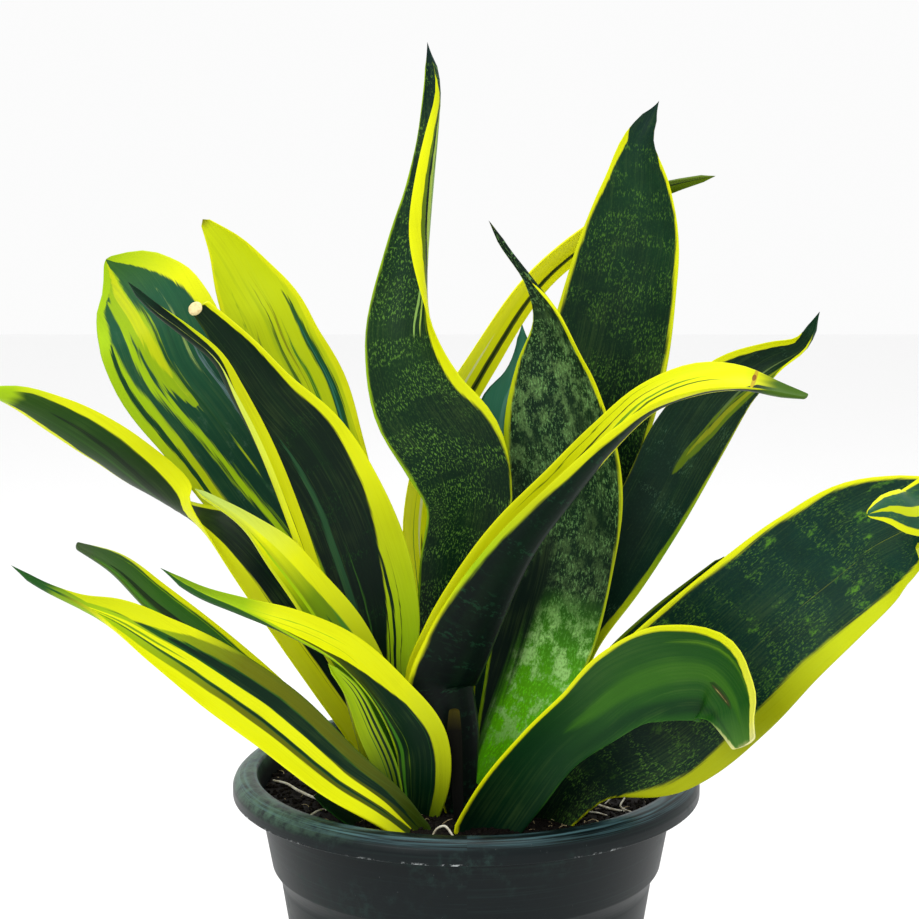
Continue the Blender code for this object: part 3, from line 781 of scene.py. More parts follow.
            (-91, -31, 176, 78, 11, 4), (-99, -36, 191, 76, 9, 3), (-111, -40, 202, 70, 7, 3),
            (-124, -43, 212, 66, 5, 2), (-133, -46, 221, 66, 2, 1),
        ],
        "ground": [(0.0, oliveDeep), (0.3, dark), (0.7, dark), (1.0, deep)],
        "left": (
            [(0.0, 0.3), (0.6, 0.3), (0.72, 0.16), (0.8, 0.03), (0.84, 0.0)],
            [(0.0, olive), (0.25, gold), (0.5, yellow), (1.0, pale)],
        ),
        "right": (
            [(0.0, 0.34), (0.5, 0.36), (0.7, 0.42), (0.8, 0.22), (0.88, 0.1), (0.94, 0.0)],
            [(0.0, olive), (0.3, yellow), (0.8, yellow), (1.0, lime)],
        ),
        "tip": (0.93, tone(10, 46, 26)),
    },
    "leaf_left_curling": {
        "slot": "leaf_lime", "thick": (3.0, 1.8, 1.0), "point": 0.004,
        "rows": [
            (-26, -23, 0, 25, 12, 4), (-31, -25, 29, 30, 16, 5), (-39, -29, 53, 40, 22, 5),
            (-51, -35, 77, 43, 25, 5), (-64, -39, 97, 50, 22, 4), (-76, -41, 113, 46, 17, 4),
            (-88, -41, 125, 51, 8, 3), (-109, -41, 138, 51, 2, 1),
        ],
        "ground": [
            (0.0, mid), (0.22, grass), (0.42, tone(78, 116, 4)), (0.6, tone(112, 144, 4)),
            (0.8, yellow), (1.0, pale),
        ],
        "stripes": [
            (0.5, 0.5, 0.2, 0.0, 0.6, grass), (-0.35, -0.3, 0.1, 0.3, 0.85, lime),
            (0.15, 0.1, 0.12, 0.05, 0.55, mid),
        ],
        "left": ([(0.0, 0.06), (0.5, 0.08), (1.0, 0.2)], [(0.0, gold), (1.0, tone(204, 216, 40))]),
        "right": (
            [(0.0, 0.08), (0.5, 0.26), (0.8, 0.4), (1.0, 0.4)],
            [(0.0, grass), (0.4, gold), (0.7, yellow), (1.0, pale)],
        ),
        "lines": [(-0.78, -0.6, 0.03, 0.05, 0.7, mid)],
        "streaks": 0.4, "streakTone": olive,
    },
    "leaf_tall_rolled": {
        "thick": (4.2, 2.4, 1.2), "point": 0.01,
        "rows": [
            (-9, 8, 0, 14, 18, 5), (-7, 7, 40, 12, 22, 5), (-8, 4, 68, 11, 26, 5),
            (-5, 0, 96, 9, 30, 6), (1, -3, 127, 6, 37, 6), (-6, -5, 149, 2, 44, 6),
            (-19, -5, 168, -3, 41, 6), (-27, -5, 192, -18, 33, 7), (-29, -5, 213, -43, 29, 11),
            (-28, -3, 237, -67, 23, 12), (-23, -2, 260, -79, 18, 9), (-18, -1, 282, -72, 11, 6),
            (-15, -2, 299, -45, 7, 4), (-16, -2, 316, -45, 2, 1),
        ],
        "ground": [
            (0.0, deep), (0.3, dark), (0.5, dark), (0.62, tone(16, 50, 20)), (0.85, tone(10, 46, 32)),
            (1.0, tone(6, 38, 34)),
        ],
        "streaks": 0.07, "mottle": 0.8, "fleck": tone(96, 144, 52), "bandLow": 0.42,
        "left": ([(0.0, 0.02), (0.5, 0.025), (1.0, 0.03)], [(0.0, limeDeep), (1.0, lime)]),
        "right": (
            [
                (0.0, 0.05), (0.2, 0.05), (0.32, 0.02), (0.42, 0.02), (0.47, 0.06), (0.54, 0.13),
                (0.66, 0.15), (0.8, 0.17), (0.93, 0.22), (0.96, 0.0),
            ],
            [(0.0, gold), (0.3, limeDeep), (0.5, yellow), (0.9, yellow), (1.0, gold)],
        ),
        "lines": [
            (0.66, 0.62, 0.07, 0.62, 0.94, olive), (0.56, 0.5, 0.05, 0.62, 0.9, deep),
            (0.44, 0.4, 0.09, 0.62, 0.95, tone(158, 186, 70)),
            (0.24, 0.22, 0.08, 0.62, 0.93, tone(134, 172, 84)),
        ],
        "tip": (0.955, tone(8, 38, 34)),
    },
    "leaf_centre_broad": {
        "thick": (4.4, 2.6, 1.2), "point": 0.01,
        "rows": [
            (9, 1, 0, 5, 13, 5), (18, 2, 21, 3, 29, 6), (26, 3, 43, 1, 38, 6), (33, 4, 67, 0, 45, 6),
            (40, 4, 97, -5, 45, 6), (42, 4, 128, -12, 49, 6), (38, 3, 158, -20, 47, 6),
            (36, 0, 181, -28, 35, 6), (33, -5, 204, -42, 14, 4), (25, -8, 219, -52, 4, 2),
            (14, -9, 235, -50, 3, 1), (9, -12, 244, -50, 2, 1),
        ],
        "ground": [(0.0, mid), (0.26, tone(16, 70, 26)), (0.36, dark), (0.8, dark), (1.0, deep)],
        # the foot's light green glow and mint patches are the leaf's own colours, painted brighter
        # still as painted light on the foot
        "glow": ([(0.0, 1.0), (0.12, 1.0), (0.2, 0.75), (0.28, 0.3), (0.36, 0.0)], tone(136, 255, 4)),
        "streaks": 0.07, "mottle": 0.7, "fleck": tone(112, 160, 92), "bandLow": 0.38,
        "patches": (
            0.47, 0.6, tone(196, 255, 150),
            [
                (0.0, 0.1), (0.08, 0.4), (0.14, 0.95), (0.27, 0.9), (0.33, 0.15), (0.5, 0.04),
                (0.6, 0.14), (0.74, 0.2), (0.84, 0.0),
            ],
        ),
        # the two deep soft-edged stripes are painted shadow over the left of the foot, where the front
        # arching leaf shades it
        "stripes": [(-1.55, 1.5, 0.86, -0.2, 0.46, deep), (-1.0, -1.0, 0.22, -0.2, 0.7, deep)],
        "stripeSoft": 0.5,
        "left": (
            [(0.0, 0.03), (0.5, 0.02), (0.64, 0.05), (0.78, 0.04), (0.84, 0.0), (1.0, 0.0)],
            [(0.0, limeDeep), (0.5, lime), (0.7, gold), (1.0, lime)],
        ),
        "right": (
            [
                (0.0, 0.02), (0.5, 0.025), (0.66, 0.04), (0.75, 0.1), (0.8, 0.2), (0.84, 0.24),
                (0.88, 0.0), (1.0, 0.0),
            ],
            [(0.0, lime), (0.5, gold), (0.7, yellow), (1.0, yellow)],
        ),
        "bandCells": (50.0, 130.0),
    },
    "leaf_tall_right": {
        "thick": (4.4, 2.6, 1.2), "point": 0.008,
        "rows": [
            (20, 24, 0, 0, 16, 6), (26, 26, 35, 0, 23, 6), (35, 28, 71, -2, 31, 6),
            (45, 31, 110, -4, 42, 6), (54, 33, 153, -8, 52, 6), (62, 35, 187, -12, 53, 6),
            (67, 36, 213, -15, 49, 6), (71, 36, 236, -17, 43, 6), (73, 37, 257, -19, 31, 5),
            (74, 38, 277, -28, 15, 4), (83, 40, 294, -30, 2, 1),
        ],
        "ground": [
            (0.0, deep), (0.3, deep), (0.6, dark), (0.88, tone(14, 54, 28)), (1.0, tone(8, 44, 36)),
        ],
        "streaks": 0.07, "mottle": 0.75, "fleck": tone(80, 126, 40), "bandLow": 0.42,
        "left": (
            [(0.0, 0.03), (0.7, 0.03), (0.84, 0.04), (0.9, 0.09), (0.935, 0.16), (0.95, 0.0)],
            [(0.0, olive), (0.5, gold), (0.9, yellow), (1.0, yellow)],
        ),
        "right": (
            [(0.0, 0.03), (0.6, 0.03), (0.84, 0.04), (0.9, 0.07), (0.92, 0.0)],
            [(0.0, olive), (0.5, gold), (0.8, yellow), (1.0, yellow)],
        ),
        "tip": (0.945, tone(8, 42, 34)),
    },
    "leaf_back_slender": {
        "thick": (3.4, 2.0, 1.2), "point": 0.006,
        "rows": [
            (-10, 43, 0, 25, 14, 5), (-13, 45, 33, 26, 16, 4), (-17, 48, 73, 28, 18, 4),
            (-19, 52, 109, 26, 20, 4), (-11, 55, 146, 30, 19, 4), (8, 58, 180, 35, 17, 4),
            (34, 60, 217, 40, 15, 4), (60, 62, 238, 40, 14, 4), (83, 56, 254, 43, 9, 3),
            (109, 48, 262, 46, 2, 1),
        ],
        # the yellow ground is the leaf's own, raised to full brightness as painted light on a side
        # turned away from the lamps
        "ground": [
            (0.0, gold), (0.2, tone(250, 254, 4)), (0.8, tone(255, 255, 4)), (0.9, olive), (1.0, olive),
        ],
        "stripes": [
            (0.5, 0.55, 0.16, 0.3, 0.86, tone(90, 96, 20)), (0.48, 0.55, 0.07, 0.36, 0.82, dark),
            (-0.1, 0.0, 0.1, 0.28, 0.62, tone(250, 250, 170)), (0.1, 0.0, 0.12, 0.02, 0.32, oliveDeep),
            (-0.4, -0.3, 0.05, 0.0, 0.4, limeDeep),
        ],
        "lines": [(0.2, 0.1, 0.1, 0.8, 0.99, dark)],
        "streaks": 0.12, "streakTone": lime,
    },
    "leaf_short_blue": {
        "thick": (3.4, 2.0, 1.2), "point": 0.006,
        "rows": [
            (5, 17, 0, 8, 13, 4), (12, 20, 50, 6, 19, 4), (16, 21, 97, 5, 25, 4),
            (18, 22, 136, 2, 29, 4), (20, 22, 165, 0, 27, 4), (23, 22, 177, -4, 14, 4),
            (24, 24, 188, -7, 6, 3), (24, 25, 199, -7, 2, 1),
        ],
        "ground": [
            (0.0, dark), (0.4, tone(34, 84, 66)), (0.7, tone(64, 136, 112)), (1.0, tone(60, 122, 96)),
        ],
        "stripes": [
            (0.4, 0.3, 0.14, 0.3, 0.95, tone(34, 88, 68)),
            (-0.4, -0.2, 0.1, 0.4, 0.9, tone(98, 160, 140)),
        ],
        "left": (evenly(0.03), tone(30, 80, 50)),
        "right": (evenly(0.03), tone(30, 80, 50)),
        "streaks": 0.2, "streakTone": tone(100, 160, 140),
    },
    "leaf_front_arching": {
        "thick": (2.6, 2.0, 1.2),
        "rows": [
            (-9, -31, 0, -85, 11, 12), (-18, -29, 30, -84, 13, 23), (-25, -27, 54, -84, 13, 28),
            (-17, -30, 77, -84, 13, 28), (-6, -34, 97, -82, 13, 25), (12, -40, 122, -77, 13, 19),
            (32, -45, 143, -75, 13, 14), (51, -49, 162, -73, 15, 10), (71, -53, 178, -69, 18, 7),
            (91, -56, 185, -65, 20, 6), (107, -61, 185, -66, 17, 4), (122, -66, 181, -68, 8, 3),
            (130, -72, 179, -68, 3, 1),
        ],
        # the near-black ground on the lower half is painted shadow over the leaf's dark green, and the
        # dim sheen keeps its grain dark
        "ground": [
            (0.0, tone(1, 8, 6)), (0.3, tone(1, 9, 8)), (0.5, tone(1, 20, 13)), (0.8, dark),
            (1.0, dark),
        ],
        "streaks": 0.07, "sheen": tone(40, 70, 44), "mottle": 0.4, "fleck": tone(30, 80, 50),
        "bandLow": 0.45,
        "left": (
            [
                (0.0, 0.04), (0.3, 0.08), (0.45, 0.2), (0.58, 0.36), (0.66, 0.66), (0.9, 0.84),
                (0.925, 0.4), (1.0, 0.1),
            ],
            [(0.0, gold), (0.3, yellow), (0.9, yellow), (1.0, olive)],
        ),
        "right": (
            [
                (0.0, 0.02), (0.32, 0.02), (0.42, 0.04), (0.55, 0.07), (0.68, 0.1), (0.8, 0.14),
                (0.88, 0.1), (0.93, 0.04), (1.0, 0.0),
            ],
            [
                (0.0, yellow), (0.32, yellow), (0.42, lime), (0.55, gold), (0.7, yellow), (0.9, yellow),
                (1.0, olive),
            ],
        ),
        "lines": [
            (-0.78, -0.62, 0.03, 0.36, 0.82, oliveDeep), (-0.5, -0.46, 0.05, 0.44, 0.86, limeDeep),
            (-0.36, -0.3, 0.05, 0.5, 0.88, olive), (-0.9, -0.85, 0.02, 0.5, 0.8, olive),
            (-0.3, -0.5, 0.75, 0.917, 0.923, tone(190, 166, 30)),
            (-0.6, -0.6, 0.2, 0.916, 0.922, tone(140, 92, 30)),
        ],
        "tip": (0.925, tone(70, 104, 26)),
    },
    "leaf_right_dark": {
        "thick": (3.8, 2.2, 1.2), "point": 0.008,
        "rows": [
            (28, 13, 0, 0, 13, 5), (36, 14, 28, -6, 18, 5), (48, 14, 63, -12, 20, 5),
            (64, 14, 92, -14, 27, 5), (81, 12, 124, -18, 31, 5), (96, 9, 154, -20, 32, 5),
            (112, 5, 176, -23, 25, 5), (128, 0, 187, -26, 14, 4), (138, -6, 193, -40, 7, 3),
            (145, -12, 207, -50, 2, 1),
        ],
        "ground": [(0.0, deep), (0.5, tone(12, 44, 32)), (0.9, dark), (1.0, tone(10, 52, 28))],
        "streaks": 0.07, "mottle": 0.45, "fleck": tone(80, 120, 90), "bandLow": 0.56,
        "stripes": [
            (-1.75, 1.2, 0.2, 0.6, 0.94, olive), (-1.7, 1.15, 0.09, 0.64, 0.9, tone(134, 142, 12)),
            (-1.72, 1.05, 0.03, 0.62, 0.9, dark), (0.0, 0.4, 0.05, 0.72, 0.95, tone(90, 112, 60)),
        ],
        "left": (
            [(0.0, 0.0), (0.7, 0.0), (0.76, 0.08), (0.86, 0.16), (0.92, 0.22), (0.95, 0.0)],
            [(0.0, deep), (0.7, gold), (0.8, yellow), (1.0, yellow)],
        ),
        "right": (
            [
                (0.0, 0.18), (0.24, 0.2), (0.36, 0.12), (0.5, 0.07), (0.66, 0.02), (0.86, 0.0),
                (0.92, 0.16), (0.96, 0.0),
            ],
            [(0.0, limeDeep), (0.3, gold), (0.5, limeDeep), (0.9, yellow), (1.0, gold)],
        ),
        "tip": (0.94, tone(10, 52, 30)),
    },
    "leaf_folded_tip": {
        "thick": (4.4, 2.6, 1.2),
        "rows": [
            (31, -46, 0, -10, 18, 6), (45, -51, 24, -8, 34, 6), (73, -65, 48, -16, 60, 6),
            (96, -71, 71, -22, 63, 6), (116, -75, 92, -23, 59, 6), (136, -79, 111, -25, 55, 6),
            (155, -84, 127, -28, 47, 5), (167, -89, 134, -40, 36, 3), (171, -99, 139, -100, 26, 2),
            (162, -109, 140, -137, 20, 2), (151, -116, 142, -146, 11, 2), (144, -120, 141, -146, 2, 1),
        ],
        "ground": [
            (0.0, deep), (0.3, tone(2, 32, 20)), (0.6, tone(4, 46, 36)), (0.84, tone(8, 52, 38)),
            (0.88, tone(34, 84, 58)), (1.0, tone(38, 88, 60)),
        ],
        "streaks": 0.07, "mottle": 0.6, "fleck": tone(80, 124, 40), "bandLow": 0.44,
        "patches": (
            0.56, 0.7, tone(92, 150, 30),
            [(0.0, 0.0), (0.25, 0.2), (0.4, 0.55), (0.75, 0.75), (0.84, 0.2), (1.0, 0.0)],
        ),
        "stripes": [(0.2, 0.1, 0.22, 0.86, 1.0, gold)],
        "left": (
            [(0.0, 0.02), (0.3, 0.025), (0.7, 0.04), (0.82, 0.04), (0.9, 0.1), (1.0, 0.2)],
            [(0.0, gold), (0.3, yellow), (1.0, yellow)],
        ),
        "right": (
            [
                (0.0, 0.01), (0.14, 0.02), (0.24, 0.09), (0.36, 0.14), (0.5, 0.15), (0.72, 0.1),
                (0.86, 0.08), (1.0, 0.2),
            ],
            [
                (0.0, gold), (0.2, tone(160, 168, 4)), (0.45, tone(150, 158, 4)), (0.6, gold),
                (0.8, gold), (1.0, yellow),
            ],
        ),
    },
    "leaf_front_hooked": {
        "thick": (3.8, 2.2, 1.4),
        "rows": [
            (7, -58, 0, 2, 24, 6), (18, -63, 18, 8, 27, 6), (33, -70, 39, 18, 28, 6),
            (48, -77, 54, 15, 31, 6), (62, -83, 67, 14, 38, 6), (79, -88, 74, 19, 45, 6),
            (91, -94, 74, 27, 43, 6), (98, -100, 67, 42, 31, 5), (101, -105, 58, 46, 18, 4),
            (103, -109, 52, 40, 11, 3),
        ],
        # over the leaf's green, the darker foot of the ground and the dark right stripe are painted
        # shade, and the lighter middle stripe is painted light
        "ground": [
            (0.0, tone(4, 34, 20)), (0.3, tone(14, 54, 22)), (0.6, tone(30, 78, 18)),
            (0.9, tone(22, 74, 18)), (1.0, tone(70, 116, 40)),
        ],
        "soft": 0.06, "stripeSoft": 0.2,
        "stripes": [
            (0.1, 0.1, 0.34, 0.35, 0.95, tone(48, 98, 18)),
            (0.75, 0.75, 0.25, 0.2, 1.0, tone(12, 54, 18)),
            (-0.6, -0.52, 0.1, 0.7, 0.92, tone(110, 160, 20)),
        ],
        "left": (
            [
                (0.0, 0.05), (0.3, 0.06), (0.66, 0.065), (0.78, 0.1), (0.86, 0.2), (0.95, 0.28),
                (1.0, 0.4),
            ],
            [(0.0, yellow), (0.8, yellow), (0.95, tone(236, 236, 90)), (1.0, cream)],
        ),
        "right": ([(0.0, 0.01), (0.9, 0.01), (1.0, 0.1)], [(0.0, mid), (0.9, grass), (1.0, cream)]),
        "lines": [
            (0.05, 0.3, 0.1, 0.8, 0.9, tone(26, 62, 14)),
            (0.07, 0.31, 0.05, 0.81, 0.89, tone(60, 56, 30)),
            (0.1, 0.32, 0.015, 0.815, 0.885, tone(176, 168, 96)),
        ],
        "streaks": 0.1, "tip": (0.985, cream),
    },
    "leaf_right_behind": {
        "thick": (2.8, 1.8, 1.0), "point": 0.004,
        "rows": [
            (37, -14, 0, -15, 10, 4), (45, -18, 31, -22, 12, 4), (59, -24, 57, -29, 15, 4),
            (80, -31, 80, -32, 16, 3), (94, -36, 96, -35, 11, 3), (104, -39, 110, -40, 2, 1),
        ],
        "ground": [(0.0, deep), (1.0, dark)],
        "left": (evenly(0.07), olive),
        "right": (evenly(0.05), oliveDeep),
    },
    "leaf_stub": {
        "thick": (2.8, 1.8, 1.2), "point": 0.004,
        "rows": [
            (-38, -42, 0, 40, 12, 3), (-44, -45, 7, 45, 19, 4), (-53, -49, 12, 45, 16, 3),
            (-62, -53, 14, 45, 4, 1),
        ],
        "ground": [(0.0, deep), (1.0, dark)],
        "left": (evenly(0.03), mid),
        "right": (evenly(0.03), olive),
        "mottle": 0.3, "fleck": mid,
    },
    "dry_sheath": {
        "slot": "sheath", "thick": (0.9, 0.8, 0.7),
        "rows": [
            (-3, -43, 0, 0, 4, 1), (-4, -41, 20, 0, 5, 1), (-5, -40, 38, 0, 6, 1),
            (-5, -40, 47, 0, 4, 1),
        ],
        # painted shadow: nearly black up to 0.8 of the length, with near-black streaks and a dim sheen;
        # only the top shows the sheath's own olive-brown
        "ground": [
            (0.0, tone(3, 4, 3)), (0.8, tone(9, 9, 4)), (0.9, tone(44, 40, 8)), (1.0, tone(70, 64, 12)),
        ],
        "streaks": 0.2, "streakTone": tone(16, 13, 7), "sheen": tone(40, 36, 16), "rough": 0.8,
    },
}


bladeTree = buildBladeTree()
leafPieces = []
# each leaf's grain and ripple start at another place in the noise
for seed, (name, leaf) in enumerate(leaves.items()):
    route, count, length = routeMesh(name + "Route", leaf["rows"], leaf["thick"], leaf.get("point"))
    finish = leafMaterial(name + "Finish", leaf, length, seed * 13.7)
    values = {"Stations": count, "Around": bladeLook["around"], "Ripple": bladeLook["ripple"]}
    values.update({"Seed": seed * 4.1, "Finish": finish})
    blade = runTree(bladeTree, route, values)
    blade.name = name + "Blade"
    closeUp(blade, bladeLook["weld"])
    leafPieces.append(place(name + "_blade", blade, [name]))
print("leaves:", len(leafPieces), "blades,", sum(len(p.data.polygons) for p in leafPieces), "faces")

# ---- the cut end of one leaf: a round pale callus over its blunt tip

callusLook = {
    "place": (-0.1085, -0.0325, 0.3735),
    "facing": (-0.35, -0.80, 0.50),
    "radius": 0.0030,
    "thick": 0.0015,
    "tone": tone(238, 218, 160),
    "rim": tone(196, 164, 104),
}


def buildCallus(look):
    mesh = bpy.data.meshes.new("callus")
    work = bmesh.new()
    bmesh.ops.create_uvsphere(work, u_segments=32, v_segments=16, radius=1.0)
    facing = Vector(look["facing"]).normalized().to_track_quat("Z", "Y").to_matrix().to_4x4()
    size = Matrix.Diagonal((look["radius"], look["radius"], look["thick"], 1.0))
    for vert in work.verts:
        bumpy = 1 + 0.06 * noise.noise(vert.co * 2.3)
        dish = 1 - 0.35 * max(0.0, 1 - (vert.co.x**2 + vert.co.y**2) * 1.6)
        vert.co = Vector((vert.co.x * bumpy, vert.co.y * bumpy, vert.co.z * dish))
    work.transform(Matrix.Translation(look["place"]) @ facing @ size)
    bmesh.ops.recalc_face_normals(work, faces=work.faces)
    work.to_mesh(mesh)
    work.free()
    material, net, shader = newMaterial("callusFinish")
    grain = net.grain(900.0, 3.0)
    feed(net, shader, "Base Color", (grain.ease(0.45, 0.7) * 0.5).blend(look["tone"], look["rim"]))
    shader.inputs["Roughness"].default_value = 0.7
    mesh.materials.append(material)
    place("cut_end_callus", mesh)


buildCallus(callusLook)

# ---- pot

potLook = {
    "height": 0.175,
    "rimRadius": 0.100,
    "mouthRadius": 0.0893,
    "baseRadius": 0.060,
    "wall": 0.0016,
    "floor": 0.0022,
    "rimDrop": 0.0094,
    "bandWall": 0.0014,
    "stepTopDrop": 0.0405,
    "stepHeight": 0.0090,
    "stepDepth": 0.0040,
    "collarTaper": 0.18,
    "holes": 8,
    "holeRadius": 0.0055,
    "holeRing": 0.044,
    "holeSides": 32,
    "cutterLength": 0.01,
    "corner": 0.0005,
    "cornerSteps": 3,
    "turns": 200,
    "tone": tone(7, 17, 19),
    "scuff": tone(44, 70, 64),
    "flash": tone(200, 206, 206),
    # pale teal-grey streaks on the lip's top: partly its own tint and partly a painted highlight
    "lipTintAndHighlight": tone(72, 104, 110),
    "greenLip": tone(96, 134, 108),
    "grit": tone(150, 158, 158),
}


def wallRadius(z):
    # outside of the wall at a height: a collar, a rounded step and a taper to the base
    look = potLook
    collarTop = look["mouthRadius"] + look["wall"]
    stepTop = look["height"] - look["stepTopDrop"]
    stepFoot = stepTop - look["stepHeight"]
    shoulder = collarTop - look["collarTaper"] * look["stepTopDrop"]
    if z >= stepTop:
        return collarTop - look["collarTaper"] * (look["height"] - z)
    if z >= stepFoot:
        drop = (stepTop - z) / look["stepHeight"]
        return shoulder - look["stepDepth"] * math.sin(drop * math.pi / 2)
    return look["baseRadius"] + (shoulder - look["stepDepth"] - look["baseRadius"]) * z / stepFoot


def lathe(name, profile, turns, rough=None):
    # a closed turned mesh from (radius, z) points that start and end on the axis
    mesh = bpy.data.meshes.new(name)
    work = bmesh.new()
    rings = []
    for radius, z in profile:
        if radius < 0.00001:
            rings.append([work.verts.new((0.0, 0.0, z))])
            continue
        ring = []
        for k in range(turns):
            angle = math.tau * k / turns
            spot = Vector((radius * math.cos(angle), radius * math.sin(angle), z))
            ring.append(work.verts.new(rough(spot) if rough else spot))
        rings.append(ring)
    for low, high in zip(rings, rings[1:]):
        for k in range(turns):
            j = (k + 1) % turns
            corners = [low[k % len(low)], low[j % len(low)], high[j % len(high)], high[k % len(high)]]
            corners = [c for i, c in enumerate(corners) if c not in corners[:i]]
            work.faces.new(corners)
    bmesh.ops.recalc_face_normals(work, faces=work.faces)
    work.to_mesh(mesh)
    work.free()
    return mesh


def rounded(points, radius, steps):
    # a profile with its corners rounded
    made = [points[0]]
    for before, here, after in zip(points, points[1:], points[2:]):
        a = Vector(before) - Vector(here)
        b = Vector(after) - Vector(here)
        reach = min(radius, a.length * 0.4, b.length * 0.4)
        start = Vector(here) + a.normalized() * reach
        end = Vector(here) + b.normalized() * reach
        for k in range(steps + 1):
            t = k / steps
            spot = start * (1 - t) ** 2 + Vector(here) * (2 * t * (1 - t)) + end * t**2
            made.append(tuple(spot))
    made.append(points[-1])
    return made


def potProfile(look):
    top = look["height"]
    wall = look["wall"]
    rim = look["rimRadius"]
    mouth = look["mouthRadius"]
    stepTop = top - look["stepTopDrop"]
    heights = [top - look["rimDrop"]]
    heights += [stepTop - look["stepHeight"] * s for s in (0.0, 0.12, 0.3, 0.5, 0.7, 0.85, 1.0)]
    inner = [(0.0, look["floor"]), (wallRadius(look["floor"]) - wall, look["floor"])]
    inner += [(wallRadius(z) - wall, z) for z in reversed(heights)]
    # from the mouth over the lip, down the band and up again behind it
    lip = [
        (mouth, top - 0.0016),
        (mouth + 0.0006, top - 0.0004),
        (mouth + 0.25 * (rim - mouth), top),
        (mouth + 0.5 * (rim - mouth), top - 0.0002),
        (rim - 0.0030, top - 0.0012),
        (rim - 0.0009, top - 0.0033),
        (rim, top - 0.0054),
        (rim, top - look["rimDrop"]),
        (rim - look["bandWall"], top - look["rimDrop"]),
        (rim - look["bandWall"], top - 0.0050),
        (wallRadius(top - 0.0036) + 0.0006, top - 0.0036),
    ]
    outer = [(wallRadius(z), z) for z in heights]
    foot = [(wallRadius(0.0015), 0.0015), (look["baseRadius"] - 0.0012, 0.0), (0.0, 0.0)]
    return rounded(inner + lip + outer + foot, look["corner"], look["cornerSteps"])


def potMaterial(look):
    material, net, shader = newMaterial("potFinish")
    x, y, z = net.ownSpot().parts()
    around = net.maths("ARCTAN2", x, y)
    broad = net.grain(26.0, 4.0, 0.6)
    fine = net.grain(1400.0, 2.0)
    worn = net.grain(210.0, 5.0, 0.7)
    dust = broad.ease(0.48, 0.72) * worn.ease(0.45, 0.7)
    colour = (dust * 0.45).blend(look["tone"], look["scuff"])
    top = look["height"]
    # fine turning lines on the wall, and pale teal-grey streaks on the lip's top that are partly its
    # own tint and partly a painted highlight
    lines = net.cloud(around * 1.2, 3.0, z * 900.0, 2.0).ease(0.5, 0.75)
    colour = (lines * 0.14).blend(colour, look["scuff"])
    rings = net.cloud(around * 2.5, 2.0, z * 2400.0, 3.0).ease(0.40, 0.66)
    lipTintAndHighlight = z.ease(top - 0.004, top - 0.001) * rings
    colour = (lipTintAndHighlight * 0.8).blend(colour, look["lipTintAndHighlight"])
    # the lip is paler and greener towards its left side, in patches
    leftLipPatch = z.ease(top - 0.007, top - 0.002) * (x * -1.0).ease(0.03, 0.095)
    colour = (leftLipPatch * 0.55 * worn.ease(0.3, 0.65)).blend(colour, look["greenLip"])
    # moulding flash: pale nicks along the lower edge of the band
    low = top - look["rimDrop"]
    nick = net.cloud(around * 34.0, z * 500.0, 1.5, 4.0, 0.7).ease(0.53, 0.60)
    run = net.cloud(around * 2.1, 0.0, 4.5, 2.0).ease(0.45, 0.62)
    near = (z - low).ease(0.0011, 0.0002) * z.ease(low - 0.0006, low - 0.0001)
    radius = net.maths("SQRT", x * x + y * y)
    outside = radius.ease(look["rimRadius"] - 0.0008, look["rimRadius"] - 0.0003)
    colour = (nick * run * near * outside).blend(colour, look["flash"])
    grit = net.cloud(around * 60.0, 9.0, z * 380.0, 4.0, 0.8).ease(0.66, 0.74)
    colour = (grit * 0.35).blend(colour, look["grit"])
    feed(net, shader, "Base Color", colour)
    shader.inputs["Specular IOR Level"].default_value = 0.16
    feed(net, shader, "Roughness", 0.44 + dust * 0.22 - z.ease(top - 0.012, top - 0.004) * 0.08)
    height = fine * 0.25 + worn * 0.6 + lines * 0.3
    feed(net, shader, "Normal", net.bump(0.25, 0.0002, height))
    return material


def buildPot(look):
    mesh = lathe("pot", potProfile(look), look["turns"])
    mesh.materials.append(potMaterial(look))
    pot = bpy.data.objects.new("potShell", mesh)
    bpy.context.scene.collection.objects.link(pot)
    drills = []
    for index in range(look["holes"]):
        angle = math.tau * (index + 0.5) / look["holes"]
        work = bmesh.new()
        wide = look["holeRadius"]
        sizes = {"radius1": wide, "radius2": wide, "depth": look["cutterLength"]}
        bmesh.ops.create_cone(work, cap_ends=True, segments=look["holeSides"], **sizes)
        drillMesh = bpy.data.meshes.new("drill")
        work.to_mesh(drillMesh)
        work.free()
        drill = bpy.data.objects.new("drill", drillMesh)
        drill.location = Vector((math.cos(angle), math.sin(angle), 0.0)) * look["holeRing"]
        bpy.context.scene.collection.objects.link(drill)
        cut = pot.modifiers.new("drill", "BOOLEAN")
        cut.operation = "DIFFERENCE"
        cut.solver = "EXACT"
        cut.object = drill
        drills.append(drill)
    graph = bpy.context.evaluated_depsgraph_get()
    finished = bpy.data.meshes.new_from_object(pot.evaluated_get(graph))
    for thing in drills + [pot]:
        bpy.data.objects.remove(thing, do_unlink=True)
    return place("pot_shell", finished, ["pot"])


potPiece = buildPot(potLook)
print("pot:", len(potPiece.data.polygons), "faces")

# ---- soil, crumbs and fibres

soilLook = {
    "crown": 0.0015,
    "unevenness": 0.0016,
    "rings": 60,
    "turns": 220,
    "crumbs": 150000.0,    # per square metre
    "crumbSize": 0.0016,
    "fibres": 9000.0,      # per square metre
    "tone": tone(8, 6, 5),
    "light": tone(30, 22, 16),
    "crumbTone": tone(22, 16, 12),
    "crumbShade": tone(10, 8, 6),
    "fibreTone": tone(196, 178, 138),
    "fibreShade": tone(140, 118, 80),
    "fibreRadius": 0.00016,
    "clearance": 0.0003,   # to the pot's wall and floor
}


def soilHeight(share):
    return soilTop + soilLook["crown"] * math.cos(min(share, 1.0) * math.pi / 2)


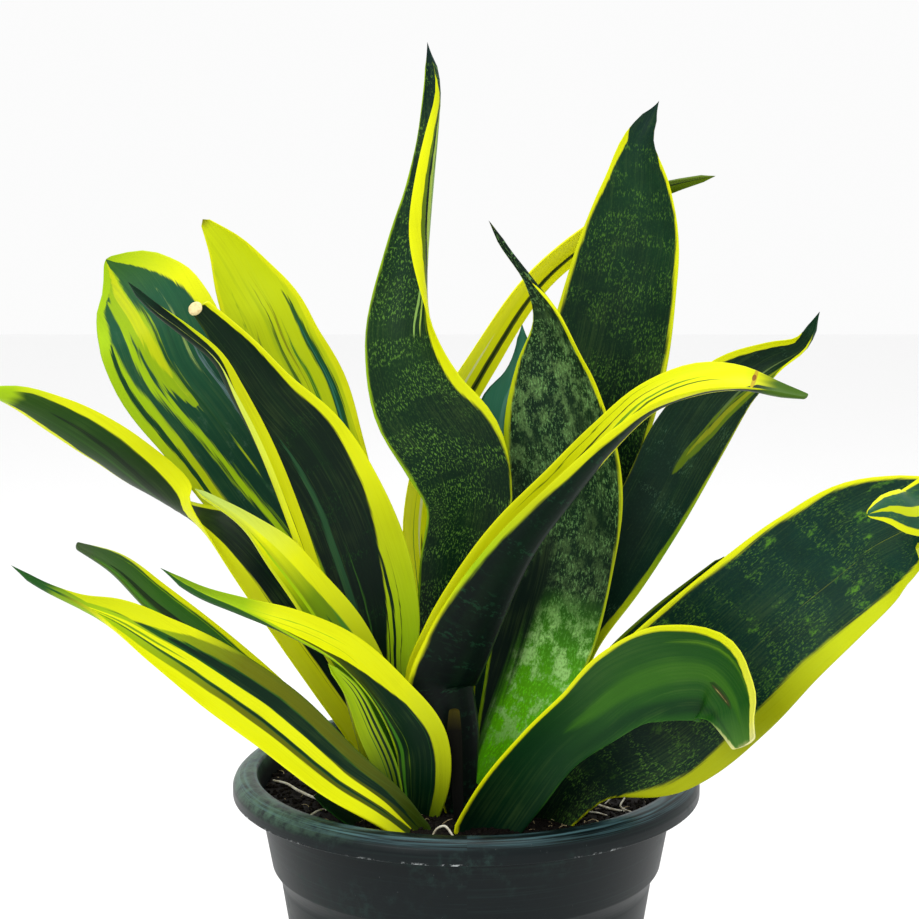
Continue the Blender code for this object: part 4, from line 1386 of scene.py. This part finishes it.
def soilMaterial(name, first, second, scale, rough):
    # two tones mixed in grains, scale of them per metre
    material, net, shader = newMaterial(name)
    grain = net.grain(scale, 6.0, 0.7)
    damp = net.grain(scale * 0.1, 3.0)
    feed(net, shader, "Base Color", grain.ease(0.40, 0.72).blend(first, second))
    feed(net, shader, "Roughness", damp.ease(0.35, 0.65) * 0.3 + rough)
    shader.inputs["Specular IOR Level"].default_value = 0.15
    feed(net, shader, "Normal", net.bump(0.6, 0.0006, grain))
    return material


def buildScatterTree():
    # small shapes scattered over the top of the soil, turned and sized at random
    tree, net, given = newTree(
        "scatter", Density="Float", Smallest="Float", Largest="Float", Tilt="Float",
        Seed="Int", Shape="Object", Finish="Material",
    )
    points = net.node(
        "GeometryNodeDistributePointsOnFaces",
        {"Mesh": given["Geometry"], "Density": given["Density"], "Seed": given["Seed"]},
        distribute_method="RANDOM",
    )
    shape = net.node("GeometryNodeObjectInfo", {"Object": given["Shape"]}, transform_space="ORIGINAL")
    shape = Wire(tree, next(s for s in shape.socket.node.outputs if s.name == "Geometry"))
    tilt, back = given["Tilt"], given["Tilt"] * -1.0
    values = {0: net.point(back, back, -3.14), 1: net.point(tilt, tilt, 3.14), "Seed": given["Seed"]}
    spin = net.node("FunctionNodeRandomValue", values, data_type="FLOAT_VECTOR")
    values = {2: given["Smallest"], 3: given["Largest"], "Seed": given["Seed"] + 5}
    size = net.node("FunctionNodeRandomValue", values, out=1, data_type="FLOAT")
    turned = net.node("FunctionNodeEulerToRotation", {0: spin})
    values = {"Points": points, "Instance": shape, "Rotation": turned, "Scale": size}
    strewn = net.node("GeometryNodeInstanceOnPoints", values)
    endTree(tree, strewn, given["Finish"])
    return tree


def softLump(name, size, seed):
    # a rough crumb with few faces
    work = bmesh.new()
    bmesh.ops.create_icosphere(work, subdivisions=1, radius=size)
    for vert in work.verts:
        vert.co *= 0.75 + 0.6 * noise.noise(vert.co / size + Vector((seed, 0, 0)))
        vert.co.z *= 0.8
    mesh = bpy.data.meshes.new(name)
    work.to_mesh(mesh)
    work.free()
    return bpy.data.objects.new(name, mesh)


def tube(name, points, radius, sides, taper=0.25):
    # a closed round strand along points, thinner towards both ends
    mesh = bpy.data.meshes.new(name)
    work = bmesh.new()
    rings = []
    last = len(points) - 1
    for i, spot in enumerate(points):
        along = (points[min(i + 1, last)] - points[max(i - 1, 0)]).normalized()
        side = along.cross(Vector((0.3, 0.2, 1.0))).normalized()
        up = side.cross(along)
        share = i / last
        swell = math.sin(math.pi * min(max(share * 0.86 + 0.07, 0), 1)) ** 0.5
        thin = radius * (taper + (1 - taper) * swell)
        angles = [math.tau * k / sides for k in range(sides)]
        corners = [spot + (side * math.cos(a) + up * math.sin(a)) * thin for a in angles]
        rings.append([work.verts.new(corner) for corner in corners])
    for low, high in zip(rings, rings[1:]):
        for k in range(sides):
            j = (k + 1) % sides
            work.faces.new((low[k], low[j], high[j], high[k]))
    work.faces.new(rings[0][::-1])
    work.faces.new(rings[-1])
    bmesh.ops.recalc_face_normals(work, faces=work.faces)
    work.to_mesh(mesh)
    work.free()
    return mesh


def buildSoil(look):
    gap = potLook["wall"] + look["clearance"]
    edge = wallRadius(soilTop) - gap
    lowest = potLook["floor"] + look["clearance"]
    shares = [k / look["rings"] for k in range(look["rings"] + 1)]
    top = [(edge * share, soilHeight(share)) for share in shares]
    stepTop = potLook["height"] - potLook["stepTopDrop"]
    heights = [stepTop - potLook["stepHeight"] * s for s in (0.0, 0.3, 0.65, 1.0)] + [lowest]
    sides = [(wallRadius(z) - gap, z) for z in heights]

    def rough(spot):
        if spot.z < soilTop - 0.002:
            return spot
        share = math.hypot(spot.x, spot.y) / edge
        lift = noise.fractal(spot * 60, 1.0, 2.1, 4) * look["unevenness"] * (1 - share**6)
        lift += noise.noise(spot * 320) * look["unevenness"] * 0.5 * (1 - share**10)
        return Vector((spot.x, spot.y, spot.z + lift))

    base = lathe("soil", top + sides + [(0.0, lowest)], look["turns"], rough)
    base.materials.append(soilMaterial("soilFinish", look["tone"], look["light"], 1100.0, 0.65))
    return place("soil_body", base, ["soil"])


def topFaces(base):
    # the soil's surface alone
    work = bmesh.new()
    work.from_mesh(base)
    steep = [f for f in work.faces if f.normal.z < 0.3 or f.calc_center_median().z < soilTop - 0.003]
    bmesh.ops.delete(work, geom=steep, context="FACES")
    surface = bpy.data.meshes.new("soilTop")
    work.to_mesh(surface)
    work.free()
    return surface


def strewSoil(look, surface):
    # crumbs and short fibres lying on the soil
    pieces = []
    scatter = buildScatterTree()
    crumbFinish = soilMaterial("crumbFinish", look["crumbTone"], look["crumbShade"], 500.0, 0.7)
    fibreFinish = soilMaterial("fibreFinish", look["fibreTone"], look["fibreShade"], 700.0, 0.6)
    lump = softLump("crumb", look["crumbSize"], 3.0)
    strand = [
        Vector((k * 0.0011 - 0.005, 0.0016 * math.sin(k * 0.55), 0.0006 * math.sin(k * 0.9)))
        for k in range(10)
    ]
    fibre = bpy.data.objects.new("fibre", tube("fibreStrand", strand, look["fibreRadius"], 4))
    # name, shape, finish, number per square metre, smallest and largest scale, tilt and seed
    jobs = [
        ("soil_crumbs", lump, crumbFinish, look["crumbs"], 0.35, 1.15, 3.1, 4),
        ("soil_fibres", fibre, fibreFinish, look["fibres"], 0.4, 1.3, 0.35, 9),
    ]
    for name, shape, finish, density, smallest, largest, tilt, seed in jobs:
        bpy.context.scene.collection.objects.link(shape)
        values = {
            "Density": density, "Smallest": smallest, "Largest": largest,
            "Seed": seed, "Shape": shape, "Tilt": tilt, "Finish": finish,
        }
        strewn = runTree(scatter, surface.copy(), values)
        bpy.data.objects.remove(shape, do_unlink=True)
        pieces.append(place(name, strewn))
    return pieces


soilBody = buildSoil(soilLook)
soilPieces = [soilBody] + strewSoil(soilLook, topFaces(soilBody.data))
print("soil:", [(piece.name, len(piece.data.polygons)) for piece in soilPieces])

# ---- loose roots on the soil

rootLook = {
    "tone": tone(226, 222, 206),
    "shade": tone(166, 152, 120),
    # name, the node it replaces, radius, and points in millimetres whose last value is the
    # height over the soil
    "strands": [
        (
            "root_left", "root_left", 0.00062,
            [(-84, 8, 1), (-78, 2, 1.4), (-72, -7, 1), (-66, -16, 1.2), (-61, -25, 2), (-58, -33, 0.6)],
        ),
        (
            "root_front", "root_front", 0.0005,
            [(-14, -66, 0.3), (-12, -66, 4.0), (-9, -67, 5.6), (-6, -70, 3.4), (-4, -74, 0.4)],
        ),
        (
            "root_right", "root_right", 0.00055,
            [(47, -28, 0.4), (50, -25, 2.2), (54, -31, 2.6), (60, -34, 1.6), (66, -33, 0.4)],
        ),
        (
            "root_curl", None, 0.0004,
            [(58, -24, 0.4), (62, -22, 3.2), (66, -26, 4.2), (64, -31, 2.0), (70, -35, 0.3)],
        ),
        (
            "root_curl_low", None, 0.00035,
            [(44, -41, 0.3), (48, -38, 1.5), (53, -40, 2.2), (58, -38, 0.4)],
        ),
        ("root_left_branch", None, 0.0004, [(-60, -27, 1.0), (-55, -25, 2.6), (-52, -20, 0.5)]),
        ("root_left_tip", None, 0.00045, [(-59, -31, 0.8), (-62, -37, 1.6), (-66, -41, 0.4)]),
        ("root_back", None, 0.0005, [(10, 62, 0.4), (20, 66, 1.8), (31, 61, 1.0), (40, 64, 0.3)]),
        ("root_back_left", None, 0.0005, [(-52, 44, 0.4), (-60, 38, 1.6), (-63, 28, 0.5)]),
    ],
}


def buildRoots(look):
    finish = soilMaterial("rootFinish", look["tone"], look["shade"], 260.0, 0.5)
    edge = wallRadius(soilTop) - potLook["wall"]
    for name, node, radius, spots in look["strands"]:
        stations = 9 * len(spots)
        line = rowsAlong(spots, lambda length: np.linspace(0.0, length, stations))
        points = []
        for x, y, lift in line * mm:
            ground = soilHeight(math.hypot(x, y) / edge)
            points.append(Vector((x, y, ground + radius * 0.6 + lift)))
        mesh = tube(name, points, radius, 8, 0.35)
        mesh.materials.append(finish)
        place(name + "_strand", mesh, [node] if node else ())
    return len(look["strands"])


print("roots:", buildRoots(rootLook))
